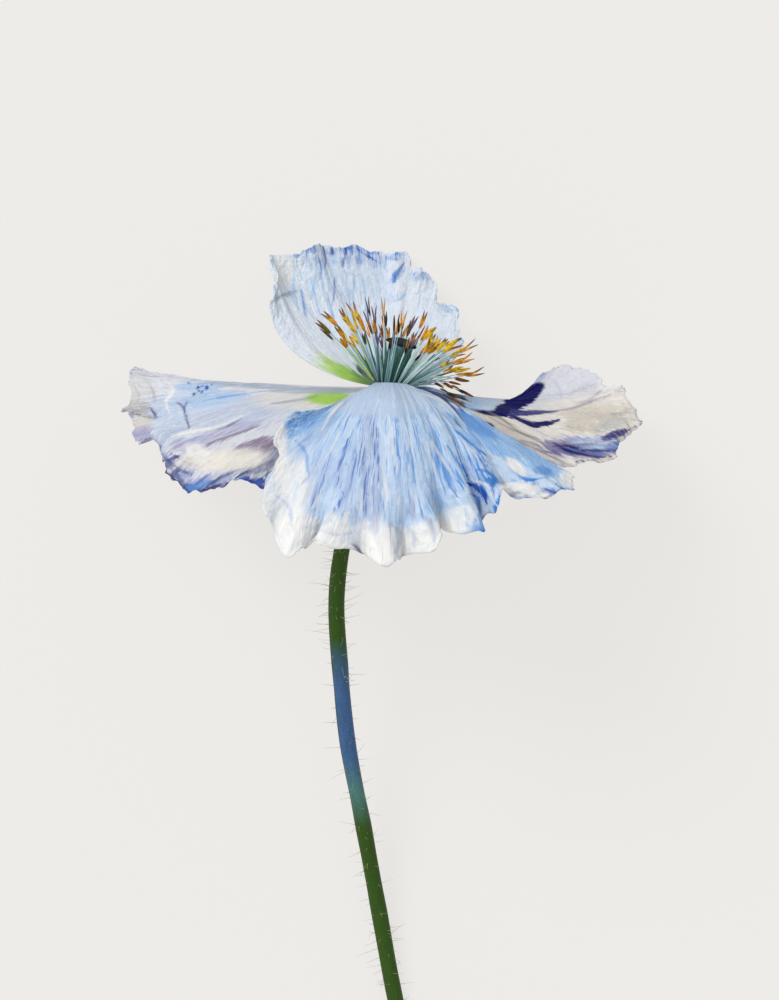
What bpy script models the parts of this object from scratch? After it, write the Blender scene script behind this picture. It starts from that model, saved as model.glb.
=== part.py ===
"""A cut poppy bloom on its stem, lying on a flat surface.

Every piece is modelled round the top of the receptacle, where the petals and stamens meet:
+Y runs from the stem towards the stamens, +X to the bloom's right and +Z away from the
surface it lies on. The whole bloom is then lifted by one empty, so that the surface is
z = 0 and the bloom's box is centred over the origin.
"""

import math
import random
from dataclasses import dataclass

import bmesh
import bpy
import numpy as np
from mathutils import Matrix, Vector

MM = 0.001

# Driving dimensions, in millimetres.
REST_HEIGHT = 27.0  # the receptacle's top stands this far above the surface
HEART_PLACE = (0.8, 0.0, 0.0)  # the receptacle's top, a little right of the petals' middle
PETAL_THICKNESS = 0.8
PETAL_SIDE_CELLS = 42  # cells from one side edge of a petal to the other
PETAL_LENGTH_CELLS = 12  # cells from a petal's claw to its rim
AXIS_LEAN_RIGHT = math.radians(16)  # the bloom's axis leans from +Y towards +X
AXIS_LEAN_UP = math.radians(7)  # and a little away from the surface

RECEPTACLE_RADIUS = 3.5
RECEPTACLE_HEIGHT = 3.2
STEM_RADIUS = 1.6
STEM_STEPS = 46
CAPSULE_RADIUS = 2.35
CAPSULE_HEIGHT = 9.4
CAPSULE_FOOT = 1.3
GAP = 0.3  # between pieces that touch


@dataclass(frozen=True)
class Petal:
    """A petal's side edges, rim and how it curves from its claw to the rim, in millimetres."""

    name: str
    colour: tuple
    claw: tuple  # the claw's two corners, first side edge then second
    rim: tuple  # points along the rim, from the first side edge to the second
    side_bow: tuple  # how each of x, y, z eases from claw to rim along the first side edge
    middle_bow: tuple  # the same down the middle of the petal
    far_bow: tuple  # the same along the second side edge
    sag: tuple  # how far y dips between claw and rim: first edge, middle, second edge
    waves: tuple  # ruffles along the rim: (count across the petal, height, phase)
    ruffle_start: float  # where, from claw 0 to rim 1, the ruffles begin


STEM_ROUTE = (
    (-0.2, -3.5, -0.4),
    (-3.2, -13.0, -1.0),
    (-6.4, -23.0, -1.7),
    (-8.5, -32.0, -2.6),
    (-9.5, -42.0, -4.8),
    (-8.9, -54.0, -9.0),
    (-7.4, -70.0, -14.5),
    (-4.3, -87.0, -19.8),
    (-1.1, -105.0, -23.9),
    (1.8, -121.0, -25.4),
    (5.6, -138.0, -25.4),
    (8.0, -149.0, -25.4),
)

PETALS = (
    Petal(
        name="petal_back",
        colour=(0.86, 0.89, 0.95),
        claw=((-2.0, 0.6, -4.5), (3.8, -0.2, -4.5)),
        rim=(
            (-22.8, 17.0, -12.5),
            (-22.2, 23.0, -15.5),
            (-21.6, 27.2, -19.0),
            (-17.0, 28.8, -22.5),
            (-11.5, 29.4, -25.0),
            (-6.0, 30.2, -26.6),
            (-1.0, 29.6, -26.6),
            (3.6, 28.0, -26.0),
            (6.0, 24.6, -24.0),
            (9.8, 21.6, -22.0),
            (12.0, 17.4, -18.5),
            (14.6, 13.0, -14.5),
            (14.8, 7.6, -9.0),
        ),
        side_bow=(0.5, 1.35, 0.8),
        middle_bow=(0.9, 1.3, 0.55),
        far_bow=(0.7, 1.2, 0.8),
        sag=(0.0, 0.0, 0.0),
        waves=((5.0, 0.6, 0.4), (9.0, 0.5, 2.1)),
        ruffle_start=0.45,
    ),
    Petal(
        name="petal_left",
        colour=(0.80, 0.82, 0.90),
        claw=((-3.7, 0.2, -2.6), (-3.5, -0.6, 2.4)),
        rim=(
            (-49.4, 4.6, -26.6),
            (-51.4, 1.0, -21.5),
            (-51.8, -3.6, -14.0),
            (-49.4, -7.8, -8.0),
            (-46.6, -10.8, -1.5),
            (-43.4, -14.6, 4.0),
            (-38.6, -19.8, 9.5),
            (-33.6, -20.0, 13.0),
            (-28.0, -18.2, 15.5),
            (-22.2, -19.8, 17.0),
            (-15.5, -16.5, 14.0),
        ),
        side_bow=(1.0, 2.6, 1.0),
        middle_bow=(1.0, 1.3, 0.8),
        far_bow=(1.0, 1.2, 0.7),
        sag=(0.0, -1.2, 0.0),
        waves=((4.0, 0.8, 1.2), (8.0, 0.5, 0.3)),
        ruffle_start=0.45,
    ),
    Petal(
        name="petal_right",
        colour=(0.82, 0.82, 0.88),
        claw=((5.2, -0.2, -2.6), (5.0, -1.0, 2.4)),
        rim=(
            (32.0, 4.0, -26.6),
            (37.4, 5.2, -25.0),
            (42.4, 2.0, -20.0),
            (46.8, 1.0, -14.5),
            (49.0, -3.6, -8.5),
            (50.2, -6.8, -3.0),
            (46.4, -9.6, 3.0),
            (44.2, -13.4, 7.5),
            (38.0, -14.6, 9.5),
            (32.0, -15.0, 9.0),
            (26.0, -12.4, 6.5),
        ),
        side_bow=(1.0, 2.8, 1.0),
        middle_bow=(1.0, 1.4, 0.8),
        far_bow=(1.0, 1.1, 0.7),
        sag=(4.0, 1.0, 0.0),
        waves=((4.5, 0.8, 0.2), (8.0, 0.5, 1.8)),
        ruffle_start=0.45,
    ),
    Petal(
        name="petal_front",
        colour=(0.58, 0.72, 0.90),
        claw=((-2.2, 0.9, 4.5), (4.0, 0.5, 4.5)),
        rim=(
            (-20.0, -9.0, 16.0),
            (-21.8, -17.6, 21.0),
            (-22.8, -24.2, 24.0),
            (-18.8, -31.2, 27.0),
            (-13.4, -30.6, 29.0),
            (-6.4, -31.2, 31.5),
            (-0.4, -33.6, 33.0),
            (6.2, -31.8, 33.0),
            (12.8, -29.8, 31.0),
            (18.6, -27.4, 29.0),
            (22.4, -21.4, 27.5),
            (28.0, -22.0, 25.0),
            (34.2, -20.2, 20.5),
            (36.2, -16.8, 16.5),
        ),
        side_bow=(1.0, 1.2, 0.8),
        middle_bow=(1.0, 2.0, 0.5),
        far_bow=(1.0, 1.1, 0.8),
        sag=(0.0, -0.8, 0.0),
        waves=((6.0, 1.0, 0.5), (11.0, 0.5, 2.6)),
        ruffle_start=0.4,
    ),
)


@dataclass(frozen=True)
class StamenRing:
    """One ring of stamens: how many, where they stand, how far they lean and how long they are."""

    count: int
    foot_radius: float
    lean: float
    length: float
    turn: float


STAMEN_RINGS = (
    StamenRing(count=13, foot_radius=2.25, lean=math.radians(26), length=16.6, turn=0.1),
    StamenRing(count=16, foot_radius=2.72, lean=math.radians(43), length=16.8, turn=0.3),
    StamenRing(count=19, foot_radius=3.18, lean=math.radians(62), length=17.4, turn=0.0),
)
FILAMENT_RADIUS = 0.17
# Along a stamen, from foot 0 to tip 1: its share of FILAMENT_RADIUS.
STAMEN_PROFILE = (
    (0.0, 1.0),
    (0.4, 0.9),
    (0.76, 0.75),
    (0.82, 2.4),
    (0.91, 2.7),
    (1.0, 0.5),
)
STAMEN_BEND = 0.12  # a filament bows outwards by this share of its length
SHORTEST, LONGEST = 0.66, 1.1  # a stamen's length, as a share of its ring's length
FRONT_LEAN_SHARE = 0.6  # stamens that face up or down lean only this share of their ring's lean


def clear_scene():
    """Removes whatever the scene holds."""
    for obj in list(bpy.data.objects):
        bpy.data.objects.remove(obj, do_unlink=True)


def material(name, colour, roughness):
    """A Principled material of one colour."""
    made = bpy.data.materials.get(name) or bpy.data.materials.new(name)
    made.use_nodes = True
    shader = made.node_tree.nodes["Principled BSDF"]
    shader.inputs["Base Color"].default_value = (*colour, 1.0)
    shader.inputs["Roughness"].default_value = roughness
    shader.inputs["Metallic"].default_value = 0.0
    made.diffuse_color = (*colour, 1.0)
    return made


def spline_through(points, at):
    """Catmull-Rom points through `points`, read at the shares `at` from 0 to 1."""
    points = np.asarray(points, float)
    padded = np.vstack([2 * points[0] - points[1], points, 2 * points[-1] - points[-2]])
    place = np.clip(np.asarray(at, float), 0.0, 1.0) * (len(points) - 1)
    first = np.minimum(place.astype(int), len(points) - 2)
    t = (place - first)[..., None]
    a, b, c, d = (padded[first + k] for k in range(4))
    return 0.5 * (
        2 * b
        + (c - a) * t
        + (2 * a - 5 * b + 4 * c - d) * t**2
        + (3 * b - a - 3 * c + d) * t**3
    )


def ease(v, bow):
    """Goes from 0 to 1 with v: late for a bow above 1, early for one below."""
    v = np.clip(v, 0.0, 1.0)
    return np.where(bow >= 1.0, v**bow, 1.0 - (1.0 - v) ** (1.0 / np.minimum(bow, 1.0)))


def across(first, middle, second, u):
    """Runs smoothly from `first` at u 0 through `middle` at u 0.5 to `second` at u 1."""
    sideways = 2.0 * u - 1.0
    edge = np.where(sideways < 0, first, second)
    return middle + (edge - middle) * sideways**2


def petal_sheet(petal, u, v):
    """Middle surface of a petal in millimetres: u runs from side edge to side edge, v from claw to rim."""
    claw = np.array(petal.claw[0]) + np.multiply.outer(
        u, np.subtract(petal.claw[1], petal.claw[0])
    )
    reach = spline_through(petal.rim, u) - claw
    points = np.empty_like(claw)
    for k in range(3):
        bow = across(petal.side_bow[k], petal.middle_bow[k], petal.far_bow[k], u)
        points[..., k] = claw[..., k] + reach[..., k] * ease(v, bow)
    points[..., 1] -= across(*petal.sag, u) * np.sin(np.pi * v)
    return points


def ruffled(petal, u, v):
    """The petal's sheet with the ruffles that grow towards its rim, kept above the surface it lies on."""
    step = 1e-3
    points = petal_sheet(petal, u, v)
    along_u = petal_sheet(petal, u + step, v) - petal_sheet(petal, u - step, v)
    along_v = petal_sheet(petal, u, v + step) - petal_sheet(petal, u, v - step)
    normal = np.cross(along_u, along_v)
    normal /= np.linalg.norm(normal, axis=-1, keepdims=True) + 1e-9
    grown = np.clip((v - petal.ruffle_start) / (1.0 - petal.ruffle_start), 0.0, 1.0) ** 2
    height = sum(h * np.sin(2 * np.pi * n * u + turn) for n, h, turn in petal.waves)
    points = points + normal * (height * grown)[..., None]
    lowest = PETAL_THICKNESS / 2 - REST_HEIGHT
    points[..., 2] = lowest + softly_above_zero(points[..., 2] - lowest)
    return points


def softly_above_zero(height, softness=0.8):
    """height where it is well above 0, easing to 0 below, as a petal flattens on a table."""
    return np.where(
        height > softness,
        height,
        np.where(height < -softness, 0.0, (height + softness) ** 2 / (4 * softness)),
    )


def petal_object(petal, parent):
    """A petal: a grid laid along its sheet, thickened with Solidify."""
    bpy.ops.mesh.primitive_grid_add(
        x_subdivisions=PETAL_SIDE_CELLS, y_subdivisions=PETAL_LENGTH_CELLS, size=1.0
    )
    obj = bpy.context.object
    obj.name = obj.data.name = petal.name
    flat = np.array([vertex.co for vertex in obj.data.vertices])
    placed = ruffled(petal, flat[:, 0] + 0.5, flat[:, 1] + 0.5) * MM
    obj.data.vertices.foreach_set("co", placed.ravel())
    obj.data.shade_smooth()
    solidify = obj.modifiers.new("thickness", "SOLIDIFY")
    solidify.thickness = PETAL_THICKNESS * MM
    solidify.offset = 0.0
    obj.data.materials.append(material(petal.name, petal.colour, 0.65))
    obj.parent = parent
    return obj


def turned_object(name, profile, steps, made_of, parent):
    """A turned piece: profile points (radius, height) in millimetres, top to bottom, spun about Z."""
    mesh = bpy.data.meshes.new(name)
    points = [(radius * MM, 0.0, height * MM) for radius, height in profile]
    mesh.from_pydata(points, [(k, k + 1) for k in range(len(points) - 1)], [])
    obj = bpy.data.objects.new(name, mesh)
    bpy.context.collection.objects.link(obj)
    screw = obj.modifiers.new("turned", "SCREW")
    screw.steps = screw.render_steps = steps
    screw.use_merge_vertices = True
    screw.merge_threshold = 0.00001
    screw.use_smooth_shade = True
    obj.data.materials.append(made_of)
    obj.parent = parent
    return obj


def tube_object(name, points, radii, sides, made_of, parent):
    """A round tube along points in millimetres, with a radius at each point."""
    curve = bpy.data.curves.new(name, "CURVE")
    curve.dimensions = "3D"
    curve.bevel_depth = MM
    curve.bevel_resolution = sides
    curve.use_fill_caps = True
    spline = curve.splines.new("POLY")
    spline.points.add(len(points) - 1)
    for knot, point, radius in zip(spline.points, points, radii):
        knot.co = (*(np.asarray(point) * MM), 1.0)
        knot.radius = radius
    spline.use_smooth = True
    obj = bpy.data.objects.new(name, curve)
    bpy.context.collection.objects.link(obj)
    obj.data.materials.append(made_of)
    obj.parent = parent
    return obj


def stem_object(parent):
    """The curved stem, from under the receptacle to its cut end on the surface."""
    route = spline_through(STEM_ROUTE, np.linspace(0.0, 1.0, STEM_STEPS))
    radii = np.full(STEM_STEPS, STEM_RADIUS)
    return tube_object("stem", route, radii, 2, material("stem", (0.08, 0.16, 0.03), 0.6), parent)


def receptacle_object(parent):
    """The green cushion at the stem's top that petals, stamens and capsule stand on."""
    profile = (
        (0.0, 0.0),
        (RECEPTACLE_RADIUS - 0.3, 0.0),
        (RECEPTACLE_RADIUS, -0.4),
        (RECEPTACLE_RADIUS * 0.93, -1.3),
        (RECEPTACLE_RADIUS * 0.62, -2.5),
        (STEM_RADIUS, -RECEPTACLE_HEIGHT),
        (0.0, -RECEPTACLE_HEIGHT),
    )
    return turned_object(
        "receptacle", profile, 24, material("receptacle", (0.22, 0.34, 0.10), 0.6), parent
    )


def capsule_object(parent):
    """The young seed capsule: a barrel with a wide stigma disc on top."""
    top = CAPSULE_HEIGHT + GAP
    profile = (
        (0.0, top + 0.5),
        (CAPSULE_RADIUS * 0.55, top + 0.2),
        (CAPSULE_RADIUS * 1.12, top - 0.5),
        (CAPSULE_RADIUS * 1.16, top - 0.9),
        (CAPSULE_RADIUS * 0.82, top - 1.4),
        (CAPSULE_RADIUS * 0.97, top - 3.0),
        (CAPSULE_RADIUS, top - 4.4),
        (CAPSULE_RADIUS * 0.84, top - 6.6),
        (CAPSULE_FOOT * 1.1, GAP + 0.8),
        (CAPSULE_FOOT, GAP),
        (0.0, GAP),
    )
    return turned_object(
        "seed_capsule", profile, 20, material("seed_capsule", (0.16, 0.22, 0.20), 0.5), parent
    )


def stamen_path(ring, number, chance):
    """The points of one stamen, in millimetres from the receptacle's top, with its axis along +Z."""
    azimuth = 2 * math.pi * (number + ring.turn + chance.uniform(-0.16, 0.16)) / ring.count
    sideways = math.cos(azimuth) ** 2
    lean = ring.lean * (FRONT_LEAN_SHARE + (1 - FRONT_LEAN_SHARE) * sideways)
    length = ring.length * chance.uniform(SHORTEST, LONGEST)
    outward = Vector((math.cos(azimuth), math.sin(azimuth), 0.0))
    up = Vector((0.0, 0.0, 1.0))
    foot = outward * ring.foot_radius + up * (GAP + FILAMENT_RADIUS)
    tilt = outward * math.sin(lean) + up * math.cos(lean)
    bow = outward * math.cos(lean) - up * math.sin(lean)
    points = []
    for share, _ in STAMEN_PROFILE:
        reach = tilt * share - bow * STAMEN_BEND * share * (1 - share)
        points.append(foot + reach * length)
    return points


def stamen_objects(parent):
    """Every stamen, a filament with its anther in one piece."""
    chance = random.Random(7)
    made_of = material("stamen", (0.55, 0.62, 0.45), 0.6)
    radii = [share * FILAMENT_RADIUS for _, share in STAMEN_PROFILE]
    number = 0
    for ring in STAMEN_RINGS:
        for k in range(ring.count):
            number += 1
            path = stamen_path(ring, k, chance)
            tube_object(f"stamen_{number:02d}", path, radii, 0, made_of, parent)


def set_down(bloom):
    """Lifts the bloom so that its lowest point is z = 0, with its box centred over the origin."""
    bpy.context.view_layer.update()
    graph = bpy.context.evaluated_depsgraph_get()
    corners = []
    for obj in bloom.children_recursive:
        if obj.type != "EMPTY":
            seen = obj.evaluated_get(graph)
            mesh = seen.to_mesh()
            corners += [seen.matrix_world @ vertex.co for vertex in mesh.vertices]
            seen.to_mesh_clear()
    low = np.min(corners, axis=0)
    high = np.max(corners, axis=0)
    middle = (low + high) / 2
    bloom.location = (-middle[0], -middle[1], -low[2])


def main():
    """Builds the bloom."""
    clear_scene()
    bloom = bpy.data.objects.new("bloom", None)
    bpy.context.collection.objects.link(bloom)
    heart = bpy.data.objects.new("heart", None)
    bpy.context.collection.objects.link(heart)
    heart.parent = bloom
    # The heart's own +Z is the bloom's axis.
    heart.matrix_local = (
        Matrix.Translation(Vector(HEART_PLACE) * MM)
        @ Matrix.Rotation(-AXIS_LEAN_RIGHT, 4, "Z")
        @ Matrix.Rotation(math.radians(-90) + AXIS_LEAN_UP, 4, "X")
    )
    stem_object(bloom)
    for petal in PETALS:
        petal_object(petal, bloom)
    receptacle_object(heart)
    capsule_object(heart)
    stamen_objects(heart)
    set_down(bloom)


main()
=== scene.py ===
"""Looks for a cut poppy flower: thin crinkled petals, a brush of stamens round a young seed
capsule, and a hairy stem, lying on a pale surface under soft studio light.

Every piece is shaped round the bloom's heart, where the petals meet: +X is the bloom's right,
+Y runs from the stem towards the stamens and +Z away from the surface it lies on. Lengths are
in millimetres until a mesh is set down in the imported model's frame.
"""

from __future__ import annotations

import logging
import math
import random
from collections.abc import Callable
from dataclasses import dataclass
from enum import Enum

import bmesh
import bpy
import numpy as np
from mathutils import Matrix, Vector

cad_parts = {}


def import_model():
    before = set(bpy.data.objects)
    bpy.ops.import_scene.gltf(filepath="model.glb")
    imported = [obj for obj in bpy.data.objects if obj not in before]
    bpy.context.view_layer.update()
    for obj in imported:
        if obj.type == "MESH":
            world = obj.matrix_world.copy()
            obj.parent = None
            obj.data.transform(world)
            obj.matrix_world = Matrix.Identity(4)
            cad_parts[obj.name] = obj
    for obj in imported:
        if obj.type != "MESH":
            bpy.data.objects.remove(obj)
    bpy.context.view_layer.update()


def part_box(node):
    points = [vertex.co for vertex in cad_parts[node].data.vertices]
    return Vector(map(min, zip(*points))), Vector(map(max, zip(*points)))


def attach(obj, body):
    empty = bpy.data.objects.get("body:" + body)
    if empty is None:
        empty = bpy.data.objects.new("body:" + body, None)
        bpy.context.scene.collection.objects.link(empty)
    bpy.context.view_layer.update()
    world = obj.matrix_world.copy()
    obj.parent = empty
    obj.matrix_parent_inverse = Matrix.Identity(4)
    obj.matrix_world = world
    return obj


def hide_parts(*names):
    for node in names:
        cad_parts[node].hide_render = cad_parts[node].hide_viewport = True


log = logging.getLogger("poppy")

Array = np.ndarray
Obj = bpy.types.Object
Material = bpy.types.Material
Tree = bpy.types.NodeTree
Node = bpy.types.Node
Socket = bpy.types.NodeSocket
Pair = tuple[float, float]
Triple = tuple[float, float, float]

MM = 0.001
REST_HEIGHT = 27.0  # the heart stands this far above the surface
RECEPTACLE_MIDDLE = (0.685, -1.289, -0.049)  # of the receptacle's box, from the heart
STAMEN_FOOT = (0.8, 0.0, 0.0)  # the middle of the stamens' ring, from the heart
AXIS_LEAN_RIGHT = math.radians(16)
AXIS_LEAN_UP = math.radians(7)
EYE_HEIGHT = 730.0  # the camera's height above the heart
EYE_PLACE = (0.9, -21.8)  # what the camera looks straight down on, from the heart


# --------------------------------------------------------------------------- small tools


def smooth(low: float, high: float, value: Array) -> Array:
    """Rises gently from 0 at low to 1 at high, or falls where low is the larger.

    Args:
        low: Where the rise begins.
        high: Where it ends.
        value: The values to read.

    Returns:
        The share at each value.
    """
    share = np.clip((value - low) / (high - low), 0.0, 1.0)
    return share * share * (3.0 - 2.0 * share)


def spline_through(points: Array, at: Array) -> Array:
    """Reads a smooth Catmull-Rom curve.

    Args:
        points: The points the curve runs through.
        at: Shares of the way along it, from 0 to 1.

    Returns:
        The curve's points at those shares.
    """
    points = np.asarray(points, float)
    padded = np.vstack([2 * points[0] - points[1], points, 2 * points[-1] - points[-2]])
    place = np.clip(np.asarray(at, float), 0.0, 1.0) * (len(points) - 1)
    first = np.minimum(place.astype(int), len(points) - 2)
    t = (place - first)[..., None]
    a, b, c, d = (padded[first + k] for k in range(4))
    bend = (2 * a - 5 * b + 4 * c - d) * t**2 + (3 * b - a - 3 * c + d) * t**3
    return 0.5 * (2 * b + (c - a) * t + bend)


def unit(vectors: Array) -> Array:
    """The vectors, each one long."""
    return vectors / (np.linalg.norm(vectors, axis=-1, keepdims=True) + 1e-9)


def softly_above_zero(height: Array, softness: float = 0.8) -> Array:
    """Flattens what would sink below 0, as a petal flattens on a table.

    Args:
        height: Heights above the surface.
        softness: How far from 0 the flattening is felt.

    Returns:
        The flattened heights.
    """
    eased = (height + softness) ** 2 / (4 * softness)
    return np.where(height > softness, height, np.where(height < -softness, 0.0, eased))


@dataclass(frozen=True)
class Grain:
    """A smooth random pattern over a petal, from -1 to 1.

    Attributes:
        across: Cells from one side edge to the other.
        along: Cells from claw to rim.
        seed: Which pattern.
    """

    across: int
    along: int
    seed: int

    def read(self, u: Array, v: Array) -> Array:
        """Reads the pattern.

        Args:
            u: Shares across the petal.
            v: Shares from claw to rim.

        Returns:
            Its values there.
        """
        chance = np.random.default_rng(self.seed)
        lattice = chance.uniform(-1.0, 1.0, (self.along + 2, self.across + 2))
        x = np.clip(u, 0.0, 1.0) * self.across
        y = np.clip(v, 0.0, 1.0) * self.along
        column, row = x.astype(int), y.astype(int)
        x, y = x - column, y - row
        x, y = x * x * (3 - 2 * x), y * y * (3 - 2 * y)
        low = lattice[row, column] * (1 - x) + lattice[row, column + 1] * x
        high = lattice[row + 1, column] * (1 - x) + lattice[row + 1, column + 1] * x
        return low * (1 - y) + high * y

    def creases(self, u: Array, v: Array) -> Array:
        """Reads the pattern as sharp creases between soft bulges."""
        return 1.0 - 2.0 * np.sqrt(np.abs(self.read(u, v)))


def streaks(u: Array, v: Array, seed: int, scale: float = 1.0) -> Array:
    """Streaks that run from claw to rim, wandering a little.

    Args:
        u: Shares across the petal.
        v: Shares from claw to rim.
        seed: Which streaks.
        scale: More for finer streaks.

    Returns:
        Values from -1 to 1.
    """
    u = u + 0.012 * Grain(9, 4, seed + 50).read(u, v)
    total = np.zeros_like(u)
    for k, share in enumerate((0.6, 0.5, 0.45)):
        total += share * Grain(int(26 * scale * 2.2**k), int(3 * 2**k), seed + k).read(u, v)
    return np.clip(total * 1.25, -1.0, 1.0)


# --------------------------------------------------------------------------- colours


def as_light(code: int) -> Array:
    """Turns a screen colour, 0xRRGGBB, into red, green and blue light from 0 to 1."""
    shades = np.array([code >> 16 & 255, code >> 8 & 255, code & 255]) / 255.0
    return np.where(shades <= 0.04045, shades / 12.92, ((shades + 0.055) / 1.055) ** 2.4)


def opaque(code: int) -> tuple[float, ...]:
    """The same for a socket, which wants alpha too."""
    return (*as_light(code), 1.0)


class Dye(Enum):
    """The flower's colours, and the painted shade on its petals, as 0xRRGGBB."""

    CHALK = 0xF0F0EE
    FROST = 0xE4EBF4
    MIST = 0xC4D6EA
    PALE_BLUE = 0xC6D3E6
    PALE_SKY = 0xC6DAEF
    SKY = 0x9CC4EA
    AZURE = 0x4E92DC
    CORNFLOWER = 0x6B8CCB
    VIOLET = 0x7484C0
    COBALT = 0x1D4DB0
    INDIGO = 0x3A3D84
    NAVY = 0x05065E
    CREAM = 0xE8E5DF
    BONE = 0xD9D3C8
    ASH = 0xD6D8D7
    # Painted shade: putty grey where the left petal's turned flap lies in shadow.
    PUTTY = 0xB9B8AE
    # Painted shade: steel grey-blue where the petals' folds, creases and overlapping edges fall
    # into shadow.
    STEEL = 0xA9B7C8
    SLATE = 0x54778E
    MOSS = 0x8A8A70
    LILAC = 0xAFABCB
    LILAC_WHITE = 0xDBDDE5
    LILAC_BLUE = 0xA7B5D8
    MAUVE = 0x8F7F98
    PLUM = 0x6C6086
    LIME = 0xA9D555
    SPRING = 0xD8EAB0
    TEAL_PALE = 0xBFD9D6
    TEAL = 0x7FAAA6
    TEAL_DEEP = 0x355F58
    BLUE_GREY = 0x7F9EC0
    LIME_SOFT = 0xB4CF7A
    AMBER = 0xE29C20
    BROWN = 0x7E4410
    YELLOW = 0xF0C61E
    OLIVE = 0x5E4C20
    SOOT = 0x0E0B12
    STEM_GREEN = 0x2B4A02
    STEM_BLUE = 0x3A5C8C
    STEM_TEAL = 0x4A7A76

    @property
    def light(self) -> Array:
        """The colour as light."""
        return as_light(self.value)


@dataclass(frozen=True)
class Stain:
    """A soft patch of colour, or of painted shade, on a petal, as seen from above.

    Attributes:
        dye: Its colour.
        strength: How much of the colour below it hides.
        broken: How far its edge breaks up into streaks, from 0 to 1.
        x: Its middle.
        y: The same, upwards.
        long: Half its length.
        high: Half its height.
        turn: How far it is turned anticlockwise, in degrees.
    """

    dye: Dye
    strength: float
    broken: float
    x: float
    y: float
    long: float
    high: float
    turn: float

    def cover(self, seen: Array, streaked: Array) -> Array:
        """How much of each place the stain hides.

        Args:
            seen: Places, as seen from above.
            streaked: The petal's streaks there.

        Returns:
            Shares from 0 to 1.
        """
        turn = math.radians(self.turn)
        x, y = seen[..., 0] - self.x, seen[..., 1] - self.y
        along = (x * math.cos(turn) + y * math.sin(turn)) / self.long
        aside = (y * math.cos(turn) - x * math.sin(turn)) / self.high
        reach = np.hypot(along, aside) + 0.4 * self.broken * streaked
        return self.strength * smooth(1.2, 0.6, reach)


@dataclass(frozen=True)
class Line:
    """A fine line of colour on a petal, such as a crease's shadow, as seen from above.

    Attributes:
        dye: Its colour.
        strength: How much of the colour below it hides.
        broken: How far it breaks up into streaks, from 0 to 1.
        widths: How wide it is along it, or in the middle of a line that ends in points.
        route: x and y of each point that it runs through.
    """

    dye: Dye
    strength: float
    broken: float
    widths: tuple[float, ...]
    route: tuple[float, ...]

    KNOTS = 24

    def cover(self, seen: Array, streaked: Array) -> Array:
        """How much of each place the line hides.

        Args:
            seen: Places, as seen from above.
            streaked: The petal's streaks there.

        Returns:
            Shares from 0 to 1.
        """
        knots = spline_through(np.reshape(self.route, (-1, 2)), np.linspace(0.0, 1.0, self.KNOTS))
        nearest = np.full(seen.shape[:-1], 1e9)
        share = np.zeros(seen.shape[:-1])
        for k in range(len(knots) - 1):
            step = knots[k + 1] - knots[k]
            t = np.clip(((seen - knots[k]) @ step) / (step @ step), 0.0, 1.0)
            away = np.linalg.norm(seen - knots[k] - t[..., None] * step, axis=-1)
            share = np.where(away < nearest, (k + t) / (len(knots) - 1), share)
            nearest = np.minimum(away, nearest)
        if len(self.widths) > 1:
            half = 0.5 * np.interp(share, np.linspace(0.0, 1.0, len(self.widths)), self.widths)
        else:
            half = 0.5 * self.widths[0] * np.sqrt(np.clip(4 * share * (1 - share), 0.05, 1.0))
        half = half * (1.0 + (0.25 + self.broken) * streaked)
        return self.strength * smooth(0.22, -0.16, nearest - half)


# --------------------------------------------------------------------------- the bench


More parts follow.
